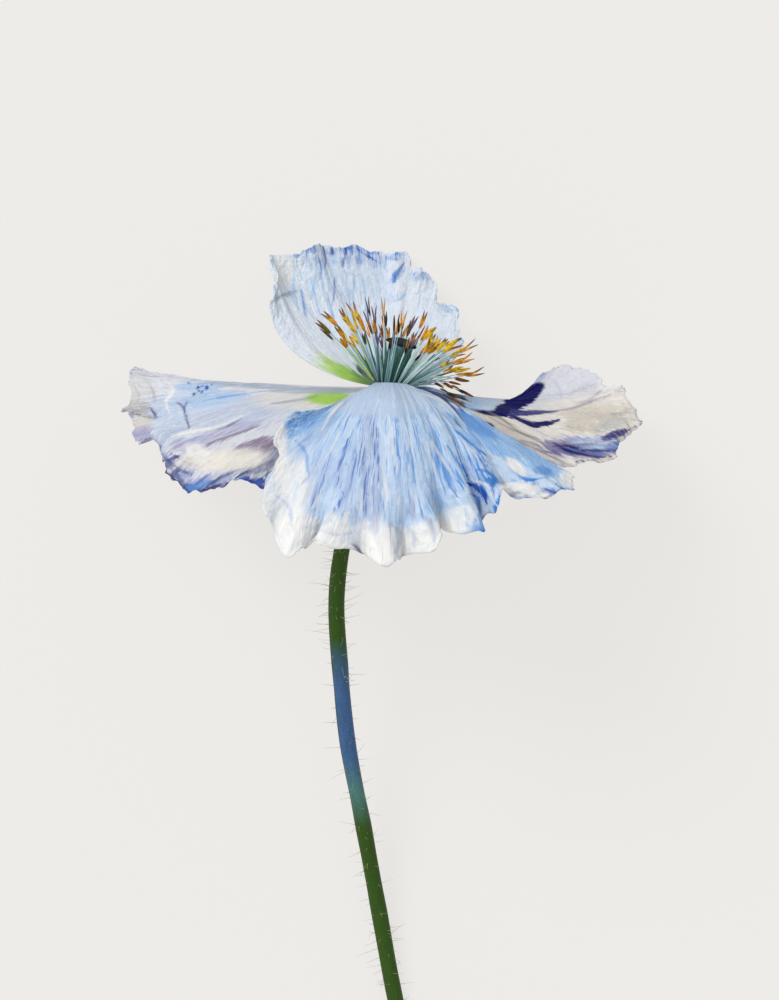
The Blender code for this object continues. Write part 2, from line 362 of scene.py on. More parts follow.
class Bench:
    """What every piece needs while it is made: clean starts, applied modifiers, a place."""

    def __init__(self) -> None:
        """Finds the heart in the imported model."""
        low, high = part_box("receptacle")
        self.heart = (low + high) / 2 - Vector(RECEPTACLE_MIDDLE) * MM

    @staticmethod
    def pick(*pieces: Obj) -> None:
        """Selects these pieces alone, the first one active, for the next operator.

        Args:
            pieces: The pieces, or none to clear the selection.
        """
        bpy.ops.object.select_all(action="DESELECT")
        for piece in pieces:
            piece.select_set(True)
        if pieces:
            bpy.context.view_layer.objects.active = pieces[0]

    def start(self, add: Callable[..., set[str]], name: str, **sizes: float) -> Obj:
        """Adds one of Blender's plain shapes.

        Args:
            add: The operator that adds it.
            name: The piece's name.
            sizes: The operator's own settings.

        Returns:
            The new object.
        """
        self.pick()
        add(**sizes)
        obj = bpy.context.object
        obj.name = obj.data.name = name
        return obj

    def rod(self, name: str, sides: int, rings: int) -> Obj:
        """Adds a straight rod to lay along a path: 1 long, 1 in radius, cut into rings.

        Args:
            name: The piece's name.
            sides: Faces round it.
            rings: Cuts along it.

        Returns:
            The new object.
        """
        add = bpy.ops.mesh.primitive_cylinder_add
        obj = self.start(add, name, vertices=sides, radius=1.0, depth=1.0)
        bpy.ops.object.mode_set(mode="EDIT")
        bpy.ops.mesh.select_all(action="DESELECT")
        for edge in bmesh.from_edit_mesh(obj.data).edges:
            edge.select_set(abs(edge.verts[0].co.z - edge.verts[1].co.z) > 0.5)
        bmesh.update_edit_mesh(obj.data)
        bpy.ops.mesh.subdivide(number_cuts=rings - 1)
        bpy.ops.mesh.select_all(action="SELECT")
        bpy.ops.transform.translate(value=(0.0, 0.0, 0.5))
        bpy.ops.object.mode_set(mode="OBJECT")
        return obj

    @staticmethod
    def copy(model: Obj) -> Obj:
        """A copy of a piece with a mesh of its own.

        Args:
            model: The piece.

        Returns:
            The copy.
        """
        obj = model.copy()
        obj.data = model.data.copy()
        bpy.context.collection.objects.link(obj)
        return obj

    @staticmethod
    def points_of(obj: Obj) -> Array:
        """The places of a mesh's vertices.

        Args:
            obj: The piece.

        Returns:
            One row for each vertex.
        """
        flat = np.empty(3 * len(obj.data.vertices))
        obj.data.vertices.foreach_get("co", flat)
        return flat.reshape(-1, 3)

    def set_points(self, obj: Obj, points: Array) -> None:
        """Moves a mesh's vertices to places from the heart.

        Args:
            obj: The piece.
            points: The places, one row for each vertex.
        """
        placed = points * MM + np.array(self.heart)
        obj.data.vertices.foreach_set("co", placed.ravel())
        obj.data.update()

    @staticmethod
    def store(obj: Obj, kind: str, name: str, values: Array) -> None:
        """Stores a colour or a place at each vertex.

        Args:
            obj: The piece.
            kind: color or vector.
            name: The attribute's name.
            values: Its values. A colour without alpha gets an alpha of 1.
        """
        if kind == "color" and values.shape[-1] == 3:
            values = np.concatenate([values, np.ones((len(values), 1))], axis=-1)
        layer = obj.data.attributes.new(name, f"FLOAT_{kind.upper()}", "POINT")
        layer.data.foreach_set(kind, np.ascontiguousarray(values, dtype=np.float32).ravel())

    def thicken(self, obj: Obj, thickness: float) -> None:
        """Gives a sheet its thickness, half to each side.

        Args:
            obj: The sheet.
            thickness: How thick, in millimetres.
        """
        self.pick(obj)
        modifier = obj.modifiers.new("thickness", "SOLIDIFY")
        modifier.thickness = thickness * MM
        modifier.offset = 0.0
        bpy.ops.object.modifier_apply(modifier=modifier.name)

    @staticmethod
    def hand_over(obj: Obj, material: Material, slot: str, *nodes: str) -> None:
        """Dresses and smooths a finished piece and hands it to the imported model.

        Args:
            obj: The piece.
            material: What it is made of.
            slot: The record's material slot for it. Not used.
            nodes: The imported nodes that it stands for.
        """
        obj.data.materials.append(material)
        obj.data.shade_smooth()
        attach(obj, "root")
        if nodes:
            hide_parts(*nodes)
        log.info("%s: %d faces", obj.name, len(obj.data.polygons))


def frames_along(path: Array) -> tuple[Array, Array, Array]:
    """Directions to lay a rod along a path without twisting it.

    Args:
        path: The path's points, evenly read.

    Returns:
        At each point: which way the path runs, and two directions square to it.
    """
    runs = unit(np.gradient(path, axis=0))
    side = np.cross(runs[0], (0.0, 0.0, 1.0))
    if np.linalg.norm(side) < 0.1:
        side = np.cross(runs[0], (1.0, 0.0, 0.0))
    sides = []
    for run in runs:
        side = side - run * (side @ run)
        side = side / np.linalg.norm(side)
        sides.append(side)
    return runs, np.array(sides), np.cross(runs, np.array(sides))


def laid_along(rod: Array, path: Array, radii: Array) -> Array:
    """Lays a straight rod along a path.

    Args:
        rod: The rod's points, with z from 0 to 1.
        path: The path's points, evenly read.
        radii: The rod's radius at each of them.

    Returns:
        The rod's points on the path.
    """
    _, sides, uppers = frames_along(path)
    place = np.clip(rod[:, 2], 0.0, 1.0) * (len(path) - 1)
    first = np.minimum(place.astype(int), len(path) - 2)
    t = (place - first)[:, None]
    middle, side, upper, radius = (
        values[first] * (1 - t) + values[first + 1] * t
        for values in (path, sides, uppers, radii[:, None])
    )
    return middle + side * rod[:, :1] * radius + upper * rod[:, 1:2] * radius


# --------------------------------------------------------------------------- materials


class Recipe:
    """A material's or a group's nodes, laid down one at a time."""

    def __init__(self, tree: Tree) -> None:
        """Starts on a node tree."""
        self.tree = tree

    def node(self, kind: str, **settings: object) -> Node:
        """Adds a node.

        Args:
            kind: Its Blender type, without ShaderNode.
            settings: Its own settings.

        Returns:
            The node.
        """
        made = self.tree.nodes.new("ShaderNode" + kind)
        for name, value in settings.items():
            setattr(made, name, value)
        return made

    def join(self, source: object, target: Socket) -> None:
        """Links a socket to another, or sets the other to a plain value.

        Args:
            source: A socket or a plain value.
            target: The socket that takes it.
        """
        if isinstance(source, Socket):
            self.tree.links.new(source, target)
        else:
            target.default_value = source

    def fill(self, node: Node, *listed: object, **named: object) -> Node:
        """Feeds a node's inputs.

        Args:
            node: The node.
            listed: Values or sockets for its first inputs, in order.
            named: Values or sockets for inputs by name, with _ for a space.

        Returns:
            The same node.
        """
        for k, value in enumerate(listed):
            self.join(value, node.inputs[k])
        for name, value in named.items():
            self.join(value, node.inputs[name.replace("_", " ")])
        return node

    def maths(self, operation: str, first: object, second: object) -> Socket:
        """Adds a sum of two sockets or numbers, such as ADD, and gives its result."""
        return self.fill(self.node("Math", operation=operation), first, second).outputs[0]

    def plus(self, first: object, second: object) -> Socket:
        """The sum of two sockets or numbers."""
        return self.maths("ADD", first, second)

    def less(self, first: object, second: object) -> Socket:
        """The first without the second."""
        return self.maths("SUBTRACT", first, second)

    def times(self, first: object, second: object) -> Socket:
        """The product of two sockets or numbers."""
        return self.maths("MULTIPLY", first, second)

    def vectors(self, operation: str, first: Socket, *second: object) -> Socket:
        """Adds or multiplies a vector socket and a vector made of three parts."""
        other = self.fill(self.node("CombineXYZ"), *second).outputs[0]
        return self.fill(self.node("VectorMath", operation=operation), first, other).outputs[0]

    def noise(self, place: Socket, scale: object, detail: float) -> Socket:
        """Adds smooth noise, about 0.5 on average.

        Args:
            place: Where it is read.
            scale: How fine it is.
            detail: How many finer layers it has.

        Returns:
            Its level's socket.
        """
        made = self.node("TexNoise")
        return self.fill(made, Vector=place, Scale=scale, Detail=detail).outputs["Fac"]

    def spread(self, level: Socket, low: object, high: object, way: str) -> Socket:
        """Maps a range of levels onto 0 to 1, and holds it at its ends.

        Args:
            level: The level to map.
            low: Where the range begins.
            high: Where it ends.
            way: LINEAR or SMOOTHSTEP.

        Returns:
            The mapped level's socket.
        """
        made = self.node("MapRange", interpolation_type=way)
        return self.fill(made, Value=level, From_Min=low, From_Max=high).outputs["Result"]

    def blend(self, share: Socket, below: object, above: object) -> Socket:
        """Mixes two colours, with this share of the second.

        Args:
            share: How much of the second.
            below: The first colour.
            above: The second.

        Returns:
            The mixed colour's socket.
        """
        made = self.fill(self.node("Mix", data_type="RGBA"), share)
        self.join(below, made.inputs[6])
        self.join(above, made.inputs[7])
        return made.outputs[2]

    def marks(self, name: str) -> bpy.types.bpy_prop_collection:
        """The outputs of what a piece stores under this name."""
        return self.node("Attribute", attribute_name=name).outputs

    def group(self, tree: Tree, **values: object) -> bpy.types.bpy_prop_collection:
        """Places a node group, fed by name, and gives its outputs."""
        return self.fill(self.node("Group", node_tree=tree), **values).outputs

    def bump(self, height: Socket, strength: float, distance: float) -> Socket:
        """Adds a normal that leans with a height.

        Args:
            height: The height.
            strength: How strongly the normal leans.
            distance: The height's whole range, in metres.

        Returns:
            The normal's socket.
        """
        made = self.node("Bump")
        values = {"Height": height, "Strength": strength, "Distance": distance}
        return self.fill(made, **values).outputs["Normal"]

    def let_light_through(self, skin: Node, colour: Socket, share: float) -> None:
        """Mixes light that comes through the piece into its surface.

        Args:
            skin: The surface's Principled node.
            colour: The light's colour.
            share: How much of it there is.
        """
        through = self.fill(self.node("BsdfTranslucent"), colour)
        both = self.fill(self.node("MixShader"), share, skin.outputs[0], through.outputs[0])
        self.join(both.outputs[0], self.tree.nodes["Material Output"].inputs["Surface"])


def new_material(name: str) -> tuple[Material, Recipe, Node]:
    """Starts a material.

    Args:
        name: The material's name.

    Returns:
        The material, its recipe and its Principled node.
    """
    made = bpy.data.materials.new(name)
    made.use_nodes = True
    recipe = Recipe(made.node_tree)
    return made, recipe, recipe.tree.nodes["Principled BSDF"]


def new_group(name: str, inputs: dict[str, float | None], *outputs: str) -> tuple[Recipe, Node]:
    """Starts a node group.

    Args:
        name: The group's name.
        inputs: Its inputs' usual values: None for a vector.
        outputs: Its outputs, all plain numbers.

    Returns:
        The group's recipe and its input node.
    """
    tree = bpy.data.node_groups.new(name, "ShaderNodeTree")
    for title, usual in inputs.items():
        kind = "NodeSocketVector" if usual is None else "NodeSocketFloat"
        socket = tree.interface.new_socket(title, in_out="INPUT", socket_type=kind)
        if usual is not None:
            socket.default_value = usual
    for title in outputs:
        tree.interface.new_socket(title, in_out="OUTPUT", socket_type="NodeSocketFloat")
    return Recipe(tree), tree.nodes.new("NodeGroupInput")


class Effects:
    """The patterns that several materials share, each built once as a node group."""

    def __init__(self) -> None:
        """Builds the groups."""
        self.veins = self.make_veins()
        self.mottle = self.make_mottle()

    @staticmethod
    def make_veins() -> Tree:
        """Streaks that run along a surface and wander a little.

        Returns:
            A group with inputs Place, Count, Length, Amount and Softness. Its output Streak
            is 1 on streaks that take up Amount of the surface, and Relief is the pattern that
            they are cut from.
        """
        inputs = {"Place": None, "Count": 80.0, "Length": 3.0, "Amount": 0.5, "Softness": 0.1}
        recipe, given = new_group("running_streaks", inputs, "Streak", "Relief")
        place, count, length, amount, softness = (given.outputs[name] for name in inputs)
        shift = recipe.times(recipe.less(recipe.noise(place, 5.0, 2.0), 0.5), 0.03)
        moved = recipe.vectors("ADD", place, shift, 0.0, 0.0)
        layers = []
        for finer, longer in ((1.0, 1.0), (2.9, 3.2)):
            scale = recipe.times(count, finer), recipe.times(length, longer), 1.0
            spot = recipe.vectors("MULTIPLY", moved, *scale)
            layers.append(recipe.times(recipe.noise(spot, 1.0, 3.0), 0.5))
        relief = recipe.spread(recipe.plus(*layers), 0.34, 0.66, "LINEAR")
        edge = recipe.less(1.06, recipe.times(amount, 1.12))
        low, high = recipe.less(edge, softness), recipe.plus(edge, softness)
        streak = recipe.spread(relief, low, high, "SMOOTHSTEP")
        recipe.fill(recipe.tree.nodes.new("NodeGroupOutput"), streak, relief)
        return recipe.tree

    @staticmethod
    def make_mottle() -> Tree:
        """An uneven, cloudy pattern through a piece.

        Returns:
            A group with inputs Scale and Contrast, and output Cloud, about 0.5 on average.
        """
        recipe, given = new_group("cloudy_mottle", {"Scale": 800.0, "Contrast": 1.0}, "Cloud")
        place = recipe.node("TexCoord").outputs["Object"]
        level = recipe.less(recipe.noise(place, given.outputs["Scale"], 4.0), 0.5)
        cloud = recipe.plus(recipe.times(level, given.outputs["Contrast"]), 0.5)
        recipe.fill(recipe.tree.nodes.new("NodeGroupOutput"), cloud)
        return recipe.tree


@dataclass(frozen=True)
class PetalTissue:
    """Thin, dull, slightly translucent petal tissue, painted by its own attributes, with a painted
    highlight on its fine crests and painted shade in its fine creases.

    Attributes:
        name: The material's name.
        vein_count: Fine veins from one side edge to the other.
        vein_length: How many fit between claw and rim.
        ridge_highlight: How much of it the pale crests take up: a painted highlight along the
            raised crests of its relief.
        crease_shade: How dark the painted shade along its fine cross creases is.
        roughness: How dull it is.
        see_through: How much light comes through it.
        crinkle: How deep the fine crinkles look.
    """

    name: str
    vein_count: float
    vein_length: float
    ridge_highlight: float
    crease_shade: float = 0.14
    roughness: float = 0.62
    see_through: float = 0.3
    crinkle: float = 0.6

    # Painted shade: the grey-blue of the fine cross creases.
    SHADE = 0x8E9BB8

    def make(self, effects: Effects) -> Material:
        """Builds the material.

        Args:
            effects: The shared patterns.

        Returns:
            The material.
        """
        made, recipe, skin = new_material(self.name)
        ink = recipe.marks("ink")
        spot = recipe.marks("petal_place")["Vector"]
        dyed, ridge_and_highlight, crepe_and_shade = (
            recipe.group(
                effects.veins,
                Place=spot,
                Count=self.vein_count * finer,
                Length=self.vein_length * longer,
                Amount=amount,
                Softness=softness,
            )
            for finer, longer, amount, softness in (
                (1.0, 1.0, ink["Alpha"], 0.13),
                (1.7, 1.6, self.ridge_highlight, 0.12),
                (0.8, 7.0, 0.3, 0.2),
            )
        )
        cloud = recipe.group(effects.mottle, Scale=300.0, Contrast=1.6)["Cloud"]
        tint = recipe.blend(dyed["Streak"], recipe.marks("pigment")["Color"], ink["Color"])
        parts = recipe.fill(recipe.node("SeparateColor"), tint)
        paleness = recipe.maths("POWER", parts.outputs["Red"], 0.45)
        # Painted light: chalk white along the raised crests is a painted highlight, the grey-blue
        # in the fine cross creases is painted shade; both fade where the colour is dark.
        layers = (ridge_and_highlight, 0.6, Dye.CHALK.value), (crepe_and_shade, self.crease_shade, self.SHADE)
        for layer, share, code in layers:
            shown = recipe.times(recipe.times(layer["Streak"], share), paleness)
            tint = recipe.blend(shown, tint, opaque(code))
        relief = recipe.plus(recipe.times(cloud, 0.8), recipe.times(crepe_and_shade["Relief"], 0.8))
        height = recipe.plus(recipe.less(ridge_and_highlight["Relief"], dyed["Relief"]), relief)
        recipe.fill(
            skin,
            Base_Color=tint,
            Roughness=recipe.plus(recipe.times(cloud, 0.12), self.roughness - 0.06),
            Normal=recipe.bump(height, self.crinkle, 0.00025),
            IOR=1.36,
            Specular_IOR_Level=0.15,
            Sheen_Weight=0.03,
            Sheen_Roughness=0.4,
        )
        recipe.let_light_through(skin, tint, self.see_through)
        return made


@dataclass(frozen=True)
class DyedSkin:
    """Plant skin whose colour is stored on the piece: filaments, anthers, capsule, stem.

    Attributes:
        name: The material's name.
        roughness: How dull it is.
        mottle_scale: How fine the mottling is.
        mottle: How strong the mottling is.
        dark: The colour that the mottling darkens towards.
        bump: How deep the mottling looks.
        count: Fine lines round the piece.
    """

    name: str
    roughness: float
    mottle_scale: float
    mottle: float
    dark: int
    bump: float
    count: float

    def make(self, effects: Effects) -> Material:
        """Builds the material.

        Args:
            effects: The shared patterns.

        Returns:
            The material.
        """
        made, recipe, skin = new_material(self.name)
        dye = recipe.marks("dye")
        spot = recipe.marks("petal_place")["Vector"]
        sizes = {"Count": self.count, "Length": 6.0, "Amount": 0.4, "Softness": 0.2}
        lines = recipe.group(effects.veins, Place=spot, **sizes)["Streak"]
        cloud = recipe.group(effects.mottle, Scale=self.mottle_scale, Contrast=2.2)["Cloud"]
        grime = recipe.plus(recipe.times(lines, 0.4), cloud)
        share = recipe.times(grime, recipe.times(dye["Alpha"], self.mottle))
        recipe.fill(
            skin,
            Base_Color=recipe.blend(share, dye["Color"], opaque(self.dark)),
            Roughness=recipe.plus(recipe.times(cloud, 0.2), self.roughness - 0.1),
            Normal=recipe.bump(recipe.plus(lines, cloud), self.bump, 0.0001),
            IOR=1.4,
            Specular_IOR_Level=0.3,
        )
        return made


@dataclass(frozen=True)
class HairDown:
    """Fine pale hairs that light comes through.

    Attributes:
        name: The material's name.
        colour: Their colour.
        bright: Their colour where it is palest.
        see_through: How much light comes through.
    """

    name: str = "stem_down"
    colour: int = 0x93A05E
    bright: int = 0xCFCFA6
    see_through: float = 0.4

    def make(self, effects: Effects) -> Material:
        """Builds the material.

        Args:
            effects: The shared patterns.

        Returns:
            The material.
        """
        made, recipe, skin = new_material(self.name)
        cloud = recipe.group(effects.mottle, Scale=900.0, Contrast=1.6)["Cloud"]
        tint = recipe.blend(cloud, opaque(self.colour), opaque(self.bright))
        recipe.fill(skin, Base_Color=tint, Roughness=0.45)
        recipe.let_light_through(skin, tint, self.see_through)
        return made


# --------------------------------------------------------------------------- petals


@dataclass(frozen=True)
class Fold:
    """One ruffle that runs in from a petal's rim.

    Attributes:
        at: Where along the rim, from 0 to 1.
        width: How wide, as a share of the rim.
        height: How far it stands out towards the camera's side.
        lean: How far its crest leans sideways.
        start: Where, from claw 0 to rim 1, it begins.
    """

    at: float
    width: float
    height: float
    lean: float = 0.0
    start: float = 0.6


@dataclass(frozen=True)
class Curl:
    """A stretch of rim that rolls over.

    Attributes:
        first: Where along the rim it begins.
        last: Where it ends.
        start: Where, from claw 0 to rim 1, it rolls from.
        radius: The roll's radius; below 0 it rolls away from the camera's side.
    """

    first: float
    last: float
    start: float
    radius: float


@dataclass(frozen=True)
class Petal:
    """One petal: how it spreads from claw to rim, how it is ruffled and how it is coloured.

    Its surface is read at u, the share across it, and v, the share from claw to rim.

    Attributes:
        name: The piece's name.
        node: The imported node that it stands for.
        slot: The record's material slot.
        claw: The claw's two corners, first side edge then second.
        rim: Points along the rim.
        bows: How x, y and z ease from claw to rim, at the first edge, middle and second edge.
        sag: How far y dips between claw and rim, at the same three.
        pleat: How deep the pleats that run from claw to rim are.
        crinkle: How deep the fine crinkles are.
        ragged: How far the rim's outline wanders.
        folds: The ruffles, each one a Fold's values.
        curls: The rolled stretches of the rim, each one a Curl's values.
        ground: The petal's own colour.
        paint: Stains and lines over it, in order: a Line's values where the fourth is its
            widths, or a Stain's.
        ink: The colour of its fine veins.
        ink_share: How strong they are, at the claw, halfway and at the rim.
        seed: Which random pattern.
        facing: 1 where the surface's own outward side is the camera's side, or -1.
        edging: How strongly the ink gathers along the rim.
    """

    name: str
    node: str
    slot: str
    claw: tuple[Triple, Triple]
    rim: tuple[Triple, ...]
    bows: tuple[Triple, Triple, Triple]
    sag: Triple
    pleat: float
    crinkle: float
    ragged: float
    folds: tuple[tuple[float, ...], ...]
    curls: tuple[tuple[float, ...], ...]
    ground: Dye
    paint: tuple[tuple[object, ...], ...]
    ink: Dye
    ink_share: Triple
    seed: int
    facing: int = 1
    edging: float = 0.5

    CELLS = (240, 140)
    THICKNESS = 0.24

    @staticmethod
    def across(first: float, middle: float, second: float, u: Array) -> Array:
        """Runs smoothly from the first edge through the middle to the second edge.

        Args:
            first: The value at the first edge.
            middle: The value in the middle.
            second: The value at the second edge.
            u: Shares across the petal.

        Returns:
            The value at each share.
        """
        sideways = 2.0 * u - 1.0
        edge = np.where(sideways < 0, first, second)
        return middle + (edge - middle) * sideways**2

    def sheet(self, u: Array, v: Array) -> Array:
        """The petal's plain surface.

        Args:
            u: Shares across it.
            v: Shares from claw to rim.

        Returns:
            Places from the heart.
        """
        claw = np.array(self.claw[0]) + u[..., None] * np.subtract(self.claw[1], self.claw[0])
        reach = spline_through(self.rim, u) - claw
        v = np.clip(v, 0.0, 1.0)
        points = np.empty_like(claw)
        for k in range(3):
            bow = self.across(*(self.bows[edge][k] for edge in range(3)), u)
            early = 1.0 - (1.0 - v) ** (1.0 / np.minimum(bow, 1.0))
            points[..., k] = claw[..., k] + reach[..., k] * np.where(bow >= 1.0, v**bow, early)
        points[..., 1] -= self.across(*self.sag, u) * np.sin(np.pi * v)
        return points

    def directions(self, u: Array, v: Array) -> tuple[Array, Array, Array, Array]:
        """Which way the plain surface runs.

        Args:
            u: Shares across it.
            v: Shares from claw to rim.

        Returns:
            The way across, the way along, the way out of it, and how long it is along.
        """
        step = 2e-3
        v = np.clip(v, step, 1.0 - step)
        across = self.sheet(u + step, v) - self.sheet(u - step, v)
        along = (self.sheet(u, v + step) - self.sheet(u, v - step)) / (2 * step)
        out = unit(np.cross(across, along)) * self.facing
        return unit(across), unit(along), out, np.linalg.norm(along, axis=-1)

    def rolled(self, u: Array, v: Array) -> Array:
        """The plain surface with the rim's rolled stretches.

        Args:
            u: Shares across it.
            v: Shares from claw to rim.

        Returns:
            Places from the heart.
        """
        points = self.sheet(u, v)
        for curl in (Curl(*row) for row in self.curls):
            soft = 0.3 * (curl.last - curl.first)
            rise = smooth(curl.first, curl.first + soft, u)
            window = rise * smooth(curl.last, curl.last - soft, u)
            begins = 1.0 - (1.0 - curl.start) * window
            _, along, out, length = self.directions(u, begins)
            run = np.clip(v - begins, 0.0, 1.0) * length
            turn = run / abs(curl.radius)
            onward = along * (abs(curl.radius) * np.sin(turn))[..., None]
            over = out * (curl.radius * (1 - np.cos(turn)))[..., None]
            bent = self.sheet(u, begins) + onward + over
            points = np.where((run > 0)[..., None], bent, points)
        return points

    def grain(self, across: int, along: int, number: int, u: Array, v: Array) -> Array:
        """Reads one of the petal's own random patterns, a Grain's values and u and v given."""
        return Grain(across, along, self.seed + number).read(u, v)

    def surface(self, u: Array, v: Array) -> Array:
        """The whole surface, ruffled, pleated and crinkled, kept above what it lies on.

        Args:
            u: Shares across it.
            v: Shares from claw to rim.

        Returns:
            Places from the heart.
        """
        across, along, out, _ = self.directions(u, v)
        points = self.rolled(u, v)
        height = np.zeros_like(u)
        lean = np.zeros_like(u)
        for fold in (Fold(*row) for row in self.folds):
            grown = np.clip((v - fold.start) / (1.0 - fold.start), 0.0, 1.0) ** 1.6
            crest = np.exp(-(((u - fold.at) / fold.width) ** 2)) * grown
            height += fold.height * crest
            lean += fold.lean * crest
        pleats = self.grain(20, 2, 0, u, v) + 0.7 * self.grain(46, 3, 1, u, v)
        height += self.pleat * pleats * smooth(0.02, 0.4, v)
        warped = u + 0.012 * self.grain(12, 10, 2, u, v)
        fine = Grain(70, 10, self.seed + 3).creases(warped, v)
        finer = Grain(110, 42, self.seed + 4).creases(warped, v)
        crumpled = smooth(0.12, 0.85, v) + 0.8 * smooth(0.76, 0.95, v)
        height += self.crinkle * (fine + 0.6 * finer) * crumpled
        flat = v * 0
        rough = self.grain(24, 1, 5, u, flat) + 0.7 * self.grain(64, 1, 6, u, flat)
        rough = (rough + 0.5 * self.grain(118, 1, 7, u, flat)) * smooth(0.78, 1.0, v)
        points = points + out * height[..., None] + across * lean[..., None]
        points = points + along * (self.ragged * rough)[..., None]
        lowest = self.THICKNESS / 2 - REST_HEIGHT
        points[..., 2] = lowest + softly_above_zero(points[..., 2] - lowest)
        return points

    def painted(self, points: Array, u: Array, v: Array) -> tuple[Array, Array]:
        """Colours the petal.

        Args:
            points: Its places from the heart.
            u: Shares across it.
            v: Shares from claw to rim.

        Returns:
            The pigment, and the ink of the fine veins with its strength as alpha.
        """
        nearer = EYE_HEIGHT / (EYE_HEIGHT - points[:, 2])
        eye = np.array(EYE_PLACE)
        seen = eye + (points[:, :2] - eye) * nearer[:, None]
        fields = streaks(u, v, self.seed + 30, 1.7), streaks(u, v, self.seed + 20)
        amount = np.interp(v, (0.0, 0.5, 1.0), self.ink_share) * (0.8 + 0.5 * fields[0])
        amount = np.clip(amount, 0.0, 1.0)
        pigment = np.tile(self.ground.light, (len(u), 1))
        ink = np.tile(self.ink.light, (len(u), 1))
        for k, row in enumerate(self.paint):
            patch = Line(*row[:4], row[4:]) if isinstance(row[3], tuple) else Stain(*row)
            cover = patch.cover(seen, fields[k % 2])
            core = patch.strength * smooth(0.5, 1.0, cover / patch.strength)
            broken = patch.broken
            solid = cover + (core * (1.0 - 0.55 * broken) - cover) * min(1.0, 3 * broken)
            pigment += (patch.dye.light - pigment) * solid[:, None]
            torn = cover * (1.0 - 0.45 * broken)
            share = torn / (torn + amount * (1 - torn) + 1e-6)
            ink += (patch.dye.light - ink) * share[:, None]
            amount = torn + amount * (1.0 - torn) ** 2
        gathered = np.clip(0.6 + 0.8 * fields[1], 0.0, 1.0)
        amount = amount + (1.0 - amount) * self.edging * smooth(0.972, 0.995, v) * gathered
        return pigment, np.concatenate([ink, amount[:, None]], axis=-1)

    def build(self, bench: Bench, tissue: Material) -> None:
        """Makes the petal.

        Args:
            bench: Where pieces are made.
            tissue: Its material.
        """
        add = bpy.ops.mesh.primitive_grid_add
        columns, rows = self.CELLS
        obj = bench.start(add, self.name, x_subdivisions=columns, y_subdivisions=rows, size=1.0)
        flat = bench.points_of(obj)
        u, v = flat[:, 0] + 0.5, flat[:, 1] + 0.5
        points = self.surface(u, v)
        bench.set_points(obj, points)
        pigment, ink = self.painted(points, u, v)
        bench.store(obj, "color", "pigment", pigment)
        bench.store(obj, "color", "ink", ink)
        bench.store(obj, "vector", "petal_place", np.stack([u, v, u * 0 + self.seed * 3.7], -1))
        bench.thicken(obj, self.THICKNESS)
        bench.hand_over(obj, tissue, self.slot, self.node)


